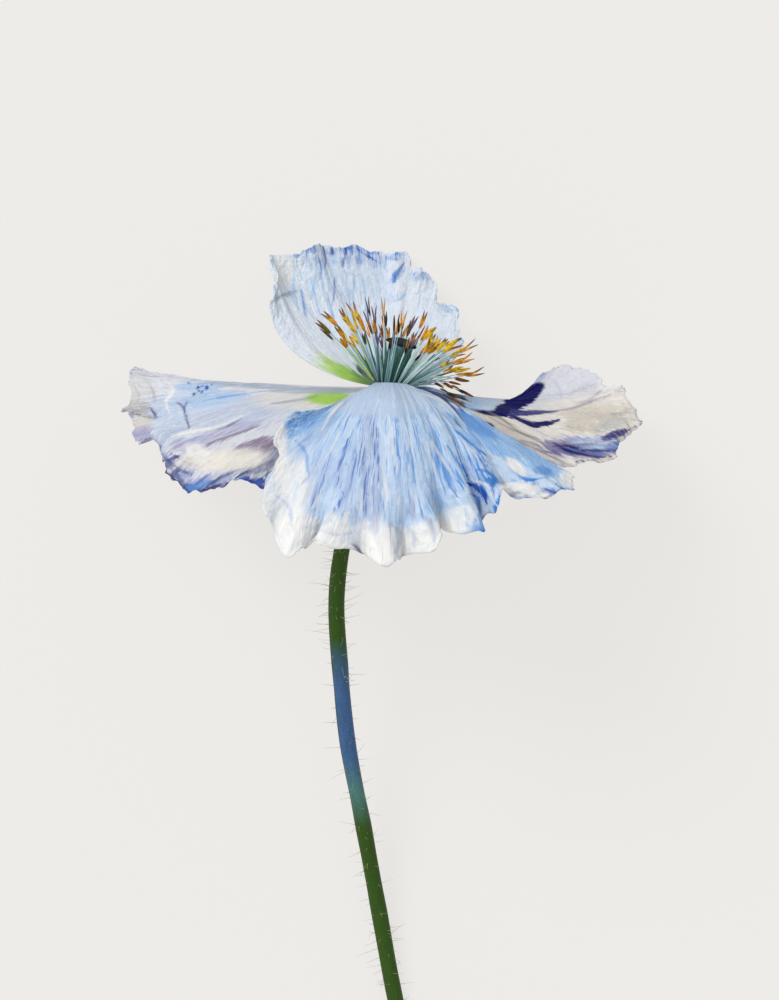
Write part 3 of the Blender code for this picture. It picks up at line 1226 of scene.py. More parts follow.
FINE = (0.1, 0.3, 0.1)
THIN = (0.1, 0.35, 0.1)
BOLD = (0.2, 0.5, 0.2)
BACK_PAINT = (
    (Dye.FROST, 0.7, 0.3, -19.5, 12.3, 3.1, 7.8, 12),
    (Dye.FROST, 0.7, 0.6, -7.8, 17.1, 11.7, 10.1, 0),
    (Dye.CHALK, 0.6, 0.5, -19.8, 22.6, 2.7, 3.5, 0), (Dye.SKY, 0.22, 1, -8.8, 21, 11.5, 5, 0),
    (Dye.AZURE, 0.24, 1, -10.7, 25.6, 6.6, 2.4, 0), (Dye.COBALT, 0.18, 1, -8.4, 27.2, 6.6, 1.5, 0),
    (Dye.AZURE, 0.5, 1, -2.6, 25.4, 4.2, 1.8, -25),
    (Dye.AZURE, 0.6, 0.9, -14.2, 27.2, 1.2, 1, -50),
    (Dye.AZURE, 0.55, 0.9, 1.9, 25.5, 2.1, 0.7, 6), (Dye.AZURE, 0.65, 0.9, 2.5, 22, 3, 1.3, 52),
    (Dye.AZURE, 0.5, 1, 6.6, 21.8, 2.4, 1.1, -5), (Dye.SKY, 0.8, 0.8, 12.6, 15, 1.6, 0.8, -20),
    (Dye.SKY, 0.35, 1, 1.9, 17.7, 2.3, 1, 16), (Dye.FROST, 0.7, 0.4, 8.8, 11.3, 6.6, 5.1, 0),
    (Dye.LIME, 0.95, 0.6, -8, 2.7, 5.2, 1.7, -31), (Dye.LIME, 0.9, 0.2, -4.5, 1, 2.7, 1.4, -30),
    (Dye.SPRING, 0.5, 0.9, -11.6, 5, 3.3, 2.3, -32),
    # Painted shade: a fold shadow on the turned flap at the back petal's left.
    (Dye.STEEL, 0.7, 0.5, -18.7, 18.3, 1.9, 0.6, 18),
    (Dye.AZURE, 0.7, 0.1, THIN, -16.3, 19.1, -15.8, 15.8, -15.4, 13.9),
    (Dye.COBALT, 0.7, 0.3, (0.25, 0.3, 0.1), -12.2, 27.4, -11.6, 25.4, -11.8, 23.4),
    (Dye.COBALT, 0.8, 0.3, (0.4,), -10.4, 27.2, -10, 25.8),
    (Dye.AZURE, 0.7, 0.3, (0.3, 0.35, 0.1), -13, 25.2, -12.4, 23, -12.8, 21),
    (Dye.COBALT, 0.7, 0.3, (0.4, 0.4, 0.1), -8, 28.2, -7.6, 26.6, -7.8, 25.2),
    (Dye.COBALT, 0.7, 0.5, (0.2, 0.35, 0.35, 0.1), -5.6, 27.2, -4.2, 26.2, -2.6, 25.2, -0.6, 24.2),
    (Dye.COBALT, 0.7, 0.4, (0.3, 0.4, 0.1), -2, 27.4, -1.2, 26, -0.8, 24.6),
    (Dye.SKY, 0.7, 0.1, FINE, -14.2, 21, -13.6, 17.4, -12.6, 14.2),
    (Dye.AZURE, 0.6, 0.1, FINE, -11.4, 18.4, -10.2, 14.4, -9.6, 11.6),
    (Dye.SKY, 0.7, 0.1, FINE, -7.2, 19, -6.6, 14.6, -5.8, 11.4),
    (Dye.SKY, 0.7, 0.1, FINE, -4.2, 21.6, -3.8, 17.2, -3.6, 13.4),
    (Dye.SKY, 0.6, 0.1, FINE, -17.6, 23.2, -17.8, 19.4, -16.9, 15.4),
    # Painted shade: steel grey-blue along the turned flap's edge.
    (Dye.STEEL, 0.8, 0.1, (0.45,), -22.2, 16.5, -20.8, 17.5, -19.3, 18.3),
    # Painted shade: dark teal on the back petal round its claw, where it lies in shadow between
    # the stamens' feet.
    (Dye.TEAL_DEEP, 0.8, 0.5, 0.2, 2.6, 6.4, 5.6, 0),
    (Dye.COBALT, 0.6, 0.1, FINE, -9.9, 21.4, -9.9, 18.1, -10.3, 16),
    (Dye.COBALT, 0.7, 0.1, (0.35,), -8, 25.3, -8.2, 23.4),
    (Dye.SKY, 0.7, 0.1, (0.3,), -6, 22, -6.2, 17.1),
    (Dye.CORNFLOWER, 0.7, 0.1, (0.45,), 3.9, 24.5, 2.5, 22.6, 1.8, 20.6),
    (Dye.SKY, 0.7, 0.1, (0.3,), -13.2, 24.5, -13.8, 20, -14.4, 17.1),
    (Dye.SKY, 0.5, 0.1, (0.35,), 1.4, 16.7, 3.3, 17.5, 4.5, 19.5),
)
LEFT_PAINT = (
    (Dye.PALE_BLUE, 0.75, 0.9, -29.2, -5.3, 13.6, 3.9, 8),
    (Dye.PALE_SKY, 0.8, 0.9, -36, -1.6, 7.8, 3.3, 6), (Dye.SKY, 0.5, 1, -36, 0.2, 5, 1.8, 4),
    (Dye.SKY, 0.5, 1, -33.4, -1.9, 6.6, 1.2, 8),
    (Dye.COBALT, 0.9, 0.1, (0.55,), -38.3, 1, -38, 0.9),
    (Dye.COBALT, 0.95, 0.1, (0.75,), -36.5, 0.1, -36.1, 0),
    (Dye.COBALT, 0.9, 0.1, (0.6,), -35.6, 0.4, -35.4, 0.3),
    (Dye.COBALT, 0.95, 0.1, (0.8,), -34.9, 0.1, -34.4, 0),
    (Dye.NAVY, 0.9, 0.1, (0.55,), -36.3, -0.6, -36.1, -0.7),
    (Dye.COBALT, 0.9, 0.1, (0.6,), -35.7, -0.8, -35.5, -0.9),
    (Dye.NAVY, 0.95, 0.1, (0.75,), -37.3, -1.2, -37, -1.3),
    (Dye.COBALT, 0.8, 0.1, (0.5,), -33.8, 0.6, -33.5, 0.6),
    (Dye.MIST, 0.6, 0.8, -43, -6.2, 4.7, 5.4, 0), (Dye.ASH, 0.75, 0.5, -48.1, 0, 3.9, 3.3, 10),
    # Painted shade: the shaded lower part of the turned flap.
    (Dye.PUTTY, 0.4, 0.3, -47.9, -3.7, 3.3, 1.4, -14),
    (Dye.BONE, 0.7, 0.5, -47.1, -7, 2.3, 1.4, 0), (Dye.LILAC, 0.7, 0.6, -47.1, -9, 2.3, 1.6, 0),
    (Dye.CREAM, 0.95, 0.3, -29, -14.4, 11, 2, -2), (Dye.CREAM, 0.6, 0.3, -16.5, -2.3, 9.7, 2.3, 0),
    (Dye.MAUVE, 0.75, 0.6, -25.3, -11.3, 7, 1.6, 14),
    (Dye.MAUVE, 0.8, 0.5, -22.4, -13, 2.3, 2.7, 10),
    (Dye.INDIGO, 0.75, 0.9, -23.9, -15.2, 5.1, 1.4, 22),
    (
        Dye.LILAC_BLUE, 0.85, 0.9, (1.2, 2.8, 3.6, 3, 2.4, 2.8, 2.8),
        -43.4, -12.6, -41.4, -15.4, -38.4, -18.3, -34, -18.6, -29, -17.2, -25, -15.6, -20.6, -13,
    ),
    (Dye.INDIGO, 0.75, 0.9, (0.6, 1, 1, 0.7), -42.4, -14.6, -39.4, -18.4, -36.4, -20, -30, -19),
    (Dye.AZURE, 0.75, 0.7, -36.6, -19.3, 3.6, 0.9, 24),
    (Dye.COBALT, 0.85, 0.7, -25, -18.5, 4.2, 1.3, -5),
    (Dye.NAVY, 0.85, 0.4, -22, -17.5, 1.6, 1.6, 0),
    (Dye.LILAC, 0.6, 0.8, -38.9, -11.3, 3.1, 1.8, -10),
    (Dye.LILAC, 0.6, 0.8, -34.8, -10.1, 4.7, 1.6, 14),
    (Dye.LILAC, 0.5, 0.8, -28.2, -7.8, 5.8, 1, 12), (Dye.LIME, 1, 0.3, -11, -2, 4.6, 1.5, 3),
    (Dye.LIME, 0.6, 0.3, -7.8, -2.9, 2.3, 1.2, 20),
    # Painted shade: this row and the next are steel grey-blue shadow lines across the left petal.
    (Dye.STEEL, 0.6, 0.4, -25.3, 0.4, 12.5, 0.7, -3),
    (Dye.STEEL, 0.7, 0.4, -12.6, -0.6, 11.7, 0.7, 0),
    (
        Dye.INDIGO, 0.75, 0, (0.1, 0.35, 0.3, 0.15),
        -40.5, -2.9, -39.3, -3.7, -38.7, -5.6, -38.1, -7.8,
    ),
    (Dye.COBALT, 0.7, 0, (0.28,), -39.1, -4.1, -38.5, -2.7),
    (Dye.INDIGO, 0.8, 0.1, (0.35,), -45.7, -3.9, -44.8, -5.1, -44.4, -6),
    (Dye.MOSS, 0.7, 0.1, (0.35,), -44.6, -6, -47.5, -5.4, -50.8, -4.5),
    (Dye.INDIGO, 0.8, 0.1, (0.3,), -47.3, -10.7, -45.3, -10.5, -43.4, -11.5),
    (Dye.INDIGO, 0.55, 0.1, (0.3,), -37.2, -8.8, -34.4, -8.4, -30.9, -7.6, -27.8, -6),
    (Dye.MAUVE, 0.6, 0.1, (0.3,), -34.8, -11.7, -33.5, -10.5, -28.2, -8.8, -23.9, -7.2),
    (Dye.AZURE, 0.6, 0.2, FINE, -35.6, -2.7, -31.7, -1.9, -27, -1.2),
    (Dye.NAVY, 0.75, 0.1, (0.45,), -44.4, -12.3, -43.2, -15.6, -40.5, -18.3, -37.9, -20.4),
    (Dye.NAVY, 0.65, 0.1, (0.4,), -37.9, -20.4, -35, -19.8, -31.3, -18.7, -27, -17.9),
    (Dye.NAVY, 0.7, 0.1, (0.5,), -29, -17.5, -24.7, -15.4, -20.8, -13.6),
    (Dye.NAVY, 0.6, 0.1, (0.35,), -43.8, -14.4, -41.4, -13.8, -39.7, -13.2),
    (Dye.COBALT, 0.7, 0.1, (0.3,), -36.8, -18.9, -33.7, -16.7),
    (Dye.INDIGO, 0.7, 0.6, BOLD, -43, -13.2, -40.4, -15.6, -37.4, -17),
    (Dye.INDIGO, 0.6, 0.6, (0.2, 0.4, 0.2), -41.8, -12.6, -39, -14.4, -36.2, -15.2),
    (Dye.NAVY, 0.7, 0.6, BOLD, -33.6, -18.8, -30, -16.6, -26.4, -15.4),
    (Dye.NAVY, 0.7, 0.6, (0.2, 0.4, 0.2), -30.6, -18.4, -27.4, -16.6, -23.4, -14.4),
    (Dye.MAUVE, 0.7, 0.6, (0.2, 0.4, 0.2), -28.2, -15.2, -24.6, -13.6, -21.2, -11.4),
    (Dye.CREAM, 0.9, 0.3, -31, -14, 9.4, 2.4, 3), (Dye.CHALK, 0.8, 0.3, -36.4, -12.6, 3, 1.8, -20),
    (Dye.NAVY, 0.6, 0.1, (0.35,), -34.8, -19.3, -31.7, -17.1),
    (Dye.SLATE, 0.4, 0.1, (0.35,), -22.4, -3.1, -18.5, -2.7, -13, -1.6),
    (Dye.CHALK, 0.75, 0.2, (0.3, 0.9, 0.7, 0.2), -41.4, -9.4, -37.6, -8.6, -33, -7.8, -27.6, -5.4),
    (Dye.CHALK, 0.7, 0.2, (0.2, 0.6, 0.6, 0.2), -42.6, 1.4, -41.2, -0.6, -42.6, -2.8, -41.8, -5),
    (Dye.LILAC_BLUE, 0.6, 0.4, (0.2, 0.6, 0.2), -39.8, -10.6, -33.4, -9.2),
    # Painted shade: this row and the next are crease shadows on the turned flap.
    (Dye.PUTTY, 0.7, 0.1, THIN, -46.2, 1.2, -45, -0.8, -44.8, -3),
    (Dye.PUTTY, 0.7, 0.1, THIN, -48.6, 0.2, -47.8, -1.8, -48.8, -3.4),
)
RIGHT_PAINT = (
    (Dye.LILAC_WHITE, 0.95, 0.1, 34.4, 0.4, 10.4, 4.8, 10),
    (Dye.LILAC_BLUE, 0.85, 0.5, 27.8, 0.8, 4.7, 1.4, 38),
    (Dye.PALE_BLUE, 0.85, 0.4, 21.8, -2.7, 5.1, 1.2, 3),
    (Dye.CREAM, 0.85, 0.4, 38.9, -3.3, 10.1, 2.3, 5),
    (Dye.BONE, 0.9, 0.3, 41.8, -5.8, 7.8, 3.1, 8), (Dye.CHALK, 0.8, 0.3, 43.8, 0.8, 3.1, 1.8, 20),
    (Dye.BONE, 0.9, 0.4, 23.9, -8.2, 8.6, 1.6, -28),
    (Dye.LILAC, 0.85, 0.3, 38.6, -11.6, 7.6, 2.2, -3),
    (Dye.INDIGO, 0.85, 0.9, 34.6, -11.7, 4.4, 1.5, -12),
    (Dye.SKY, 0.7, 1, 40.9, -11, 5.6, 1.4, -3), (Dye.COBALT, 0.8, 0.9, 38.6, -12.2, 6, 0.8, -6),
    (Dye.COBALT, 0.8, 0.7, 44.6, -11.5, 1.8, 1, 0), (Dye.LILAC, 0.7, 0.5, 33.5, -10.9, 2.7, 1, -5),
    (Dye.INDIGO, 0.85, 0.5, 44.8, -9.1, 2.9, 0.8, 22),
    # Painted shade: the steel grey-blue stain on the next line is a fold shadow.
    (Dye.CREAM, 0.85, 0.3, 31.7, -14, 5.1, 1, -14), (Dye.STEEL, 0.4, 0.8, 43.8, -7, 3.5, 1, 10),
    (Dye.MIST, 0.9, 0.2, 19, -3.2, 5, 1.3, -14),
    (Dye.NAVY, 1, 0, (0.3, 0.6, 1.1, 1.6), 16.8, -4.1, 19.2, -4.7, 21.4, -5, 23.6, -4.9),
    (
        Dye.NAVY, 1, 0, (1.4, 3.2, 3.5, 2.6, 1.4),
        22, -4.4, 24.6, -3.5, 27, -2.1, 29.2, -0.4, 30.4, 0.4,
    ),
    (Dye.LILAC_BLUE, 0.8, 0.1, (0.6, 0.9, 0.4), 26.2, 0.9, 28.4, 1.8, 31, 2.6),
    (Dye.INDIGO, 0.9, 0.1, (1.5, 1, 0.7, 0.2), 24.7, -5.2, 27.6, -4.9, 30.6, -4.8, 33.6, -4.6),
    (Dye.MAUVE, 0.7, 0.1, (0.1, 0.35, 0.3, 0.1), 33, -4.6, 37, -3.9, 40.4, -2.6, 44.1, -1.3),
    (Dye.BONE, 0.9, 0.3, (0.2, 0.8, 0.2), 34, -5.2, 37.6, -4.6, 41, -3.4),
    (
        Dye.NAVY, 0.9, 0.25, (0.4, 0.7, 1, 0.9, 0.4),
        24.4, -5.5, 26.9, -6.5, 29, -7.3, 31.5, -7, 33.9, -6.3,
    ),
    (Dye.NAVY, 0.9, 0.1, (0.5, 1, 0.5), 19.2, -6.7, 20.4, -7.4, 21.4, -8.2),
    (Dye.MOSS, 0.6, 0.1, (0.35,), 19.5, -4.5, 22.4, -5.8, 26.3, -8.6, 30.2, -10.1),
    (Dye.MAUVE, 0.4, 0.1, (0.3,), 37, -3.1, 39.9, -2.3, 42.4, -0.4),
    (Dye.PLUM, 0.6, 0.1, (0.3,), 31.1, -10.7, 37, -11.1, 41.4, -10.7, 44.8, -9.5, 49, -7.4),
    (Dye.NAVY, 0.8, 0.1, (0.35,), 32.7, -10.7, 36.4, -12.5, 41.4, -13.4, 45, -13.2),
    (Dye.NAVY, 0.7, 0.1, (0.3,), 33.3, -11.5, 36.6, -12.6, 39.9, -13.2),
    (Dye.MAUVE, 0.6, 0.1, (0.3,), 18.5, -7.2, 23.4, -9.3, 30.2, -12.3, 36.4, -15.2),
    (Dye.NAVY, 0.6, 0.1, (0.35,), 37, -14.4, 38.3, -14.2, 39.1, -14.8),
    (Dye.NAVY, 0.8, 0.1, (0.2, 0.35, 0.35, 0.2), 32.6, -11.4, 36, -11.4, 40.2, -12.2, 45, -12.2),
    (Dye.CHALK, 0.7, 0.4, FINE, 36.6, -10.6, 40.4, -10.6, 44.4, -10.8),
    (Dye.PALE_SKY, 0.8, 0.4, THIN, 37.8, -11.8, 41.6, -11.6, 45.6, -11.4),
    (Dye.PLUM, 0.5, 0.1, (0.1, 0.3, 0.3, 0.1), 20.4, -5.8, 25, -8.2, 30.6, -10.6, 35.4, -12.6),
    (Dye.PLUM, 0.5, 0.1, (0.1, 0.3, 0.3, 0.1), 26.4, -10.2, 29.4, -11, 31.4, -12.4, 34.2, -13),
    # Painted shade: this row and the next two are steel grey-blue fold shadows.
    (Dye.STEEL, 0.5, 0.4, (0.1, 0.4, 0.1), 30.6, -1.6, 35.4, -1.2, 40.2, 0.6),
    (Dye.STEEL, 0.35, 0.6, (0.1, 0.5, 0.1), 31.4, 2.4, 33.8, 0.2, 34.4, -2.6),
    (Dye.STEEL, 0.5, 0.6, 29.4, 2, 3.4, 1, 32),
    (Dye.MAUVE, 0.5, 0.1, (0.25,), 43.8, -5.1, 47.3, -4.9),
    (Dye.PALE_SKY, 1, 0, 10.4, -1.6, 8, 2.6, -14), (Dye.SKY, 0.6, 0.3, 15.6, -2.6, 3.6, 1.3, -22),
    (Dye.NAVY, 0.85, 0, (0.2, 0.45, 0.2), 4.2, 0.3, 9.5, -0.2, 15.6, -1.9),
    (Dye.COBALT, 0.8, 0, (0.2, 0.35, 0.2), 6.6, 0, 11, -1.4, 14.2, -2.6),
    (Dye.NAVY, 0.9, 0, (0.2, 0.5, 0.3), 7.6, -0.6, 11.2, -2, 14.6, -4.1),
    (Dye.SOOT, 0.8, 0, BOLD, 11.4, -1.4, 13.2, -2.4, 15.4, -3.1),
)
FRONT_PAINT = (
    (Dye.MIST, 0.8, 0.1, -0.2, -2.7, 10.9, 3.9, 0), (Dye.SKY, 0.85, 0.5, -14.6, -6.8, 5.8, 3, 20),
    (Dye.AZURE, 0.6, 0.9, -15.8, -6.6, 3.9, 1.5, 18),
    (Dye.CORNFLOWER, 0.5, 1, -13.4, -9.4, 3.5, 1.2, 32),
    (Dye.PALE_SKY, 0.7, 0.6, -12.3, -10.9, 5.1, 3.9, 30),
    (Dye.PALE_SKY, 0.6, 0.8, -16.5, -15, 3.5, 4.3, 20), (Dye.CHALK, 1, 0.5, -20.6, -12, 1.9, 7, 5),
    (Dye.CHALK, 1, 0.8, -19.6, -21.4, 5.6, 8.6, -22), (Dye.CHALK, 1, 0.7, -18.1, -29.6, 8, 6, 0),
    (Dye.CHALK, 1, 0.8, -7.8, -29.6, 9.4, 5.4, 0), (Dye.CHALK, 1, 0.8, 0, -31.1, 7.4, 5.6, 0),
    (Dye.CHALK, 1, 0.6, 8.6, -29.4, 6.6, 4.6, 0), (Dye.CHALK, 0.9, 0.6, 14.6, -26.2, 5.4, 3.6, 30),
    (Dye.SKY, 0.85, 0.4, 22, -10.1, 12.1, 3.3, -27),
    (Dye.AZURE, 0.7, 0.5, 17.3, -7, 5.8, 1.6, -33),
    (Dye.SKY, 0.8, 0.4, 31.1, -15.6, 5.4, 2.1, -18),
    (Dye.AZURE, 0.75, 0.8, 30.2, -16.2, 2.1, 0.9, -5),
    (Dye.COBALT, 0.85, 0.8, 32.3, -20, 2.3, 0.8, -8),
    (Dye.CHALK, 0.85, 0.4, 35.6, -17.9, 2.3, 1.6, -20),
    (Dye.CHALK, 1, 0.1, 26.1, -19.7, 4.7, 1.4, -5), (Dye.CHALK, 1, 0.1, 31.1, -21.4, 1.9, 1, 0),
    (Dye.CHALK, 0.95, 0.1, 25.3, -15.4, 2.9, 1.2, -40),
    (Dye.AZURE, 0.5, 1, 18.1, -16.7, 5.4, 3.5, -40),
    (Dye.AZURE, 0.8, 0.6, 20.4, -18.3, 1.6, 1.2, 0),
    (Dye.AZURE, 0.8, 0.7, 18.9, -26.7, 2.5, 1.6, 25),
    (Dye.PLUM, 0.7, 0.4, 15.8, -29.8, 1.8, 0.7, 12), (Dye.VIOLET, 0.5, 1, -2.9, -16, 2.4, 9.6, 2),
    (Dye.LILAC_BLUE, 0.5, 1, -2.2, -22.4, 1.9, 5.1, 0),
    (Dye.CORNFLOWER, 0.42, 1, -7.4, -16, 2.6, 8.2, -12),
    (Dye.CORNFLOWER, 0.36, 1, -11.3, -17.9, 2.7, 6.6, -28),
    (Dye.SKY, 0.42, 1, 8.8, -14.4, 6.6, 9.3, 25),
    (Dye.PALE_SKY, 0.6, 0.8, 3.7, -20.8, 2.3, 6.6, 8),
    (Dye.PLUM, 0.5, 0.7, 5.3, -23.4, 0.8, 3.1, 12), (Dye.AZURE, 0.4, 1, 12.3, -16, 2.3, 6.6, 32),
    (Dye.NAVY, 0.8, 0.1, (0.1, 0.3, 0.35, 0.1), 6, 0, 9.4, -1, 12.8, -3.4, 15, -6.4),
    (Dye.CHALK, 0.8, 0.1, (0.1, 0.3, 0.35, 0.1), 7.2, -1.2, 10.6, -2.4, 13.4, -4.8, 15.8, -7.8),
    (Dye.NAVY, 0.8, 0.1, FINE, 9.4, -0.4, 12.6, -2.2, 15.6, -4.9),
    # Painted shade: a steel grey-blue shadow line beside the threads on the shoulder.
    (Dye.STEEL, 0.8, 0.1, FINE, 9.6, -3.9, 12.2, -6, 14, -8.8),
    (Dye.SLATE, 0.8, 0.2, (0.2, 0.5, 0.1), 13.4, -5.6, 14, -6.8, 15.2, -8),
    (Dye.NAVY, 0.9, 0.1, (0.28,), -7.4, -14.8, -7.3, -14.9),
    (Dye.NAVY, 0.9, 0.1, (0.28,), -10.1, -23.4, -10, -23.5),
    (Dye.INDIGO, 0.9, 0.1, (0.22,), -3.4, -20.6, -3.3, -20.7),
    (Dye.SKY, 0.5, 1, 7.8, -21.4, 2.7, 3.5, 15),
    # Painted shade: a steel grey-blue crease shadow.
    (Dye.STEEL, 0.7, 0.3, (0.3, 0.5, 0.4, 0.2), -7.6, -2.7, -9.3, -4.5, -10.7, -7.4, -12.8, -10.6),
    (Dye.CHALK, 0.8, 0.3, (0.2, 0.4, 0.2), -8.2, -2.9, -10.2, -4.7, -12.2, -8.2),
    (Dye.CHALK, 0.7, 0.5, (0.2, 0.4, 0.2), -8.8, -8.6, -10.4, -12, -12.8, -15.6),
    (Dye.AZURE, 0.6, 0.6, BOLD, -17.9, -9.8, -15.4, -12.6, -15, -16.4),
    (Dye.CORNFLOWER, 0.6, 0.6, (0.2, 0.45, 0.2), -12.4, -12.4, -14.4, -16.6, -17, -19.6),
    (Dye.CHALK, 0.8, 0.4, BOLD, 0.8, -5.4, 1.4, -10, 1.9, -15.2),
    (Dye.CHALK, 0.8, 0.4, BOLD, 3.6, -6.8, 5.2, -11.6, 6.6, -16.4),
    (Dye.CHALK, 0.7, 0.5, BOLD, 6.6, -9.2, 8.8, -13.6, 10.6, -18.6),
    (Dye.CHALK, 0.7, 0.5, BOLD, 9, -10.4, 11.4, -14.4, 13.8, -17.8),
    (Dye.CHALK, 0.7, 0.6, (0.2, 0.7, 0.3), -0.6, -14.6, 0.2, -19, 0.6, -23.4),
    (Dye.CORNFLOWER, 0.8, 0.3, (0.1, 0.45, 0.1), -6.8, -9.5, -8, -13, -9.3, -17.5),
    (Dye.COBALT, 0.8, 0.3, (0.1, 0.5, 0.1), -1.4, -7.8, -1.4, -12.5, -1.2, -18.9),
    (Dye.COBALT, 0.8, 0.3, THIN, -7.8, -19.1, -9, -22.4, -10.1, -24.4),
    (Dye.CORNFLOWER, 0.8, 0.1, (0.4,), -5.4, -12.5, -6.4, -17.9, -7.6, -21.8),
    (
        Dye.LILAC_BLUE, 0.4, 0, (0.1, 0.3, 0.3, 0.1),
        -13, -27.4, -10.7, -28.4, -6.8, -28.2, -2.5, -27,
    ),
    # Painted shade: a steel grey-blue fold shadow across the frill.
    (Dye.STEEL, 0.55, 0.3, (0.3, 1.3, 0.5), -11.9, -25.6, -13.4, -27.8, -14.6, -31.4),
    (Dye.PALE_BLUE, 0.9, 0.4, (0.2, 0.9, 0.3), -21.4, -20.6, -18.6, -23.4, -17.8, -28),
    # Painted shade: this row and the next are steel grey-blue fold shadows across the frill's
    # lobes.
    (Dye.STEEL, 0.5, 0.3, (0.3, 1.1, 0.4), 1.2, -26.4, 2.8, -28.8, 2, -32),
    (Dye.STEEL, 0.5, 0.3, (0.3, 1, 0.3), 6.6, -24.6, 8.8, -26.2, 9.4, -29.6),
    (Dye.SKY, 0.7, 0.4, (0.3, 0.8, 0.3), 14.6, -22.6, 16, -25, 15.6, -28.4),
    # Painted shade: this row and the next are steel grey-blue fold shadows across the frill's
    # lobes.
    (Dye.STEEL, 0.4, 0.5, (0.3, 1, 0.5), -4.6, -27.4, -5.6, -30, -4.8, -32.6),
    (Dye.STEEL, 0.35, 0.6, (0.4, 0.9, 0.3), -9.6, -24, -12.4, -26.6, -16.6, -27.4),
    (Dye.LILAC_BLUE, 0.45, 0.5, (0.3, 1, 0.5), 4.2, -26.6, 5.8, -29.2, 5.2, -31.8),
    (Dye.LILAC_BLUE, 0.5, 0.4, (0.3, 0.9, 0.5), 8.2, -25.6, 9.8, -27.8, 9.6, -30.2),
    (Dye.PALE_BLUE, 0.6, 0.6, (0.2, 0.8, 0.3), -20.6, -21, -22.2, -25, -20.6, -29),
    (Dye.CHALK, 0.75, 0.6, (0.1, 0.45, 0.1), -15.6, -15.6, -17.2, -21),
    (Dye.CHALK, 0.75, 0.6, (0.1, 0.4, 0.1), -13.6, -17.6, -15.1, -23.4),
    (Dye.CHALK, 0.75, 0.6, THIN, -12.2, -19.4, -13.5, -24.4),
    (Dye.CHALK, 0.75, 0.6, THIN, -9.4, -19, -10.3, -25.4),
    (Dye.CHALK, 0.75, 0.6, FINE, -6.6, -20, -7.1, -25.6),
    (Dye.CHALK, 0.75, 0.6, FINE, -4.4, -19.4, -4.7, -25.6),
    (Dye.CHALK, 0.75, 0.6, (0.1, 0.4, 0.1), 2.6, -19.6, 3.1, -25.6),
    (Dye.CHALK, 0.75, 0.6, THIN, 5.6, -18.6, 6.8, -24.6),
    (Dye.CHALK, 0.75, 0.6, THIN, 8, -18.8, 9.6, -24),
    (Dye.SKY, 0.75, 0.6, FINE, -14.6, -20.8, -16, -25.4),
    (Dye.SKY, 0.75, 0.6, FINE, -11.4, -22.6, -12.3, -27),
    (Dye.CORNFLOWER, 0.75, 0.6, (0.1, 0.25, 0.1), -8, -22.4, -8.6, -26.6),
    (Dye.LILAC_BLUE, 0.75, 0.6, FINE, -5.6, -23.4, -5.9, -27.4),
    (Dye.LILAC_BLUE, 0.75, 0.6, FINE, -1.2, -23.6, -1.2, -28),
    (Dye.SKY, 0.75, 0.6, THIN, 4.2, -22.6, 4.7, -27),
    (Dye.AZURE, 0.75, 0.6, FINE, 6.8, -21.6, 7.7, -26.2),
    (Dye.PALE_SKY, 0.75, 0.6, (0.1, 0.4, 0.1), -16.8, -18.4, -18, -22.8),
    (Dye.SKY, 0.75, 0.6, FINE, 0.6, -22, 0.7, -27),
    # Plum under a folded lobe at the rim: partly the underside's own colour, partly painted
    # shadow.
    (Dye.PLUM, 0.8, 0.1, (0.4,), -6.6, -30.2, -5.3, -31.3, -4.1, -32.7),
    (Dye.PLUM, 0.8, 0.1, (0.4,), 3.1, -32.7, 5.1, -33.9),
    (
        Dye.AZURE, 0.85, 0.1, (0.15, 0.35, 0.4, 0.15),
        23, -13.6, 25.1, -16.5, 27.8, -17.9, 31.1, -17.5,
    ),
    (
        Dye.COBALT, 0.9, 0.3, (0.3, 0.9, 0.8, 0.2),
        15.8, -18.6, 17.9, -19.2, 19.4, -20.8, 19.8, -22.8,
    ),
    (
        Dye.CHALK, 0.85, 0.3, (0.15, 0.45, 0.45, 0.15),
        15.6, -17.4, 17.6, -18, 20.2, -19.2, 21, -21.6,
    ),
    (
        Dye.AZURE, 0.85, 0.3, (0.15, 0.5, 0.5, 0.2),
        16.6, -20.6, 18.2, -21.6, 18.4, -24.2, 17.4, -26.2,
    ),
    (Dye.AZURE, 0.8, 0.4, (0.2, 0.5, 0.5, 0.2), 18, -15.8, 20.2, -16.6, 21.4, -18.4, 20.6, -20),
    (Dye.PALE_SKY, 0.8, 0.4, (0.2, 0.4, 0.2), 19.2, -14.6, 22.2, -15.4, 24.2, -17.8),
    (Dye.AZURE, 0.8, 0.3, (0.1, 0.6, 0.2), 12, -11, 14.2, -14.6, 17, -18.4),
    (Dye.AZURE, 0.8, 0.1, (0.5,), 13.6, -8.2, 16.5, -10.7, 19.7, -13.2),
    (Dye.PLUM, 0.5, 0.1, (0.3,), 23.7, -20.8, 26.5, -20.4, 28.2, -21.6),
    (Dye.PLUM, 0.7, 0.1, (0.35,), 28.8, -21.8, 31.1, -21.6, 32.5, -20.6),
)


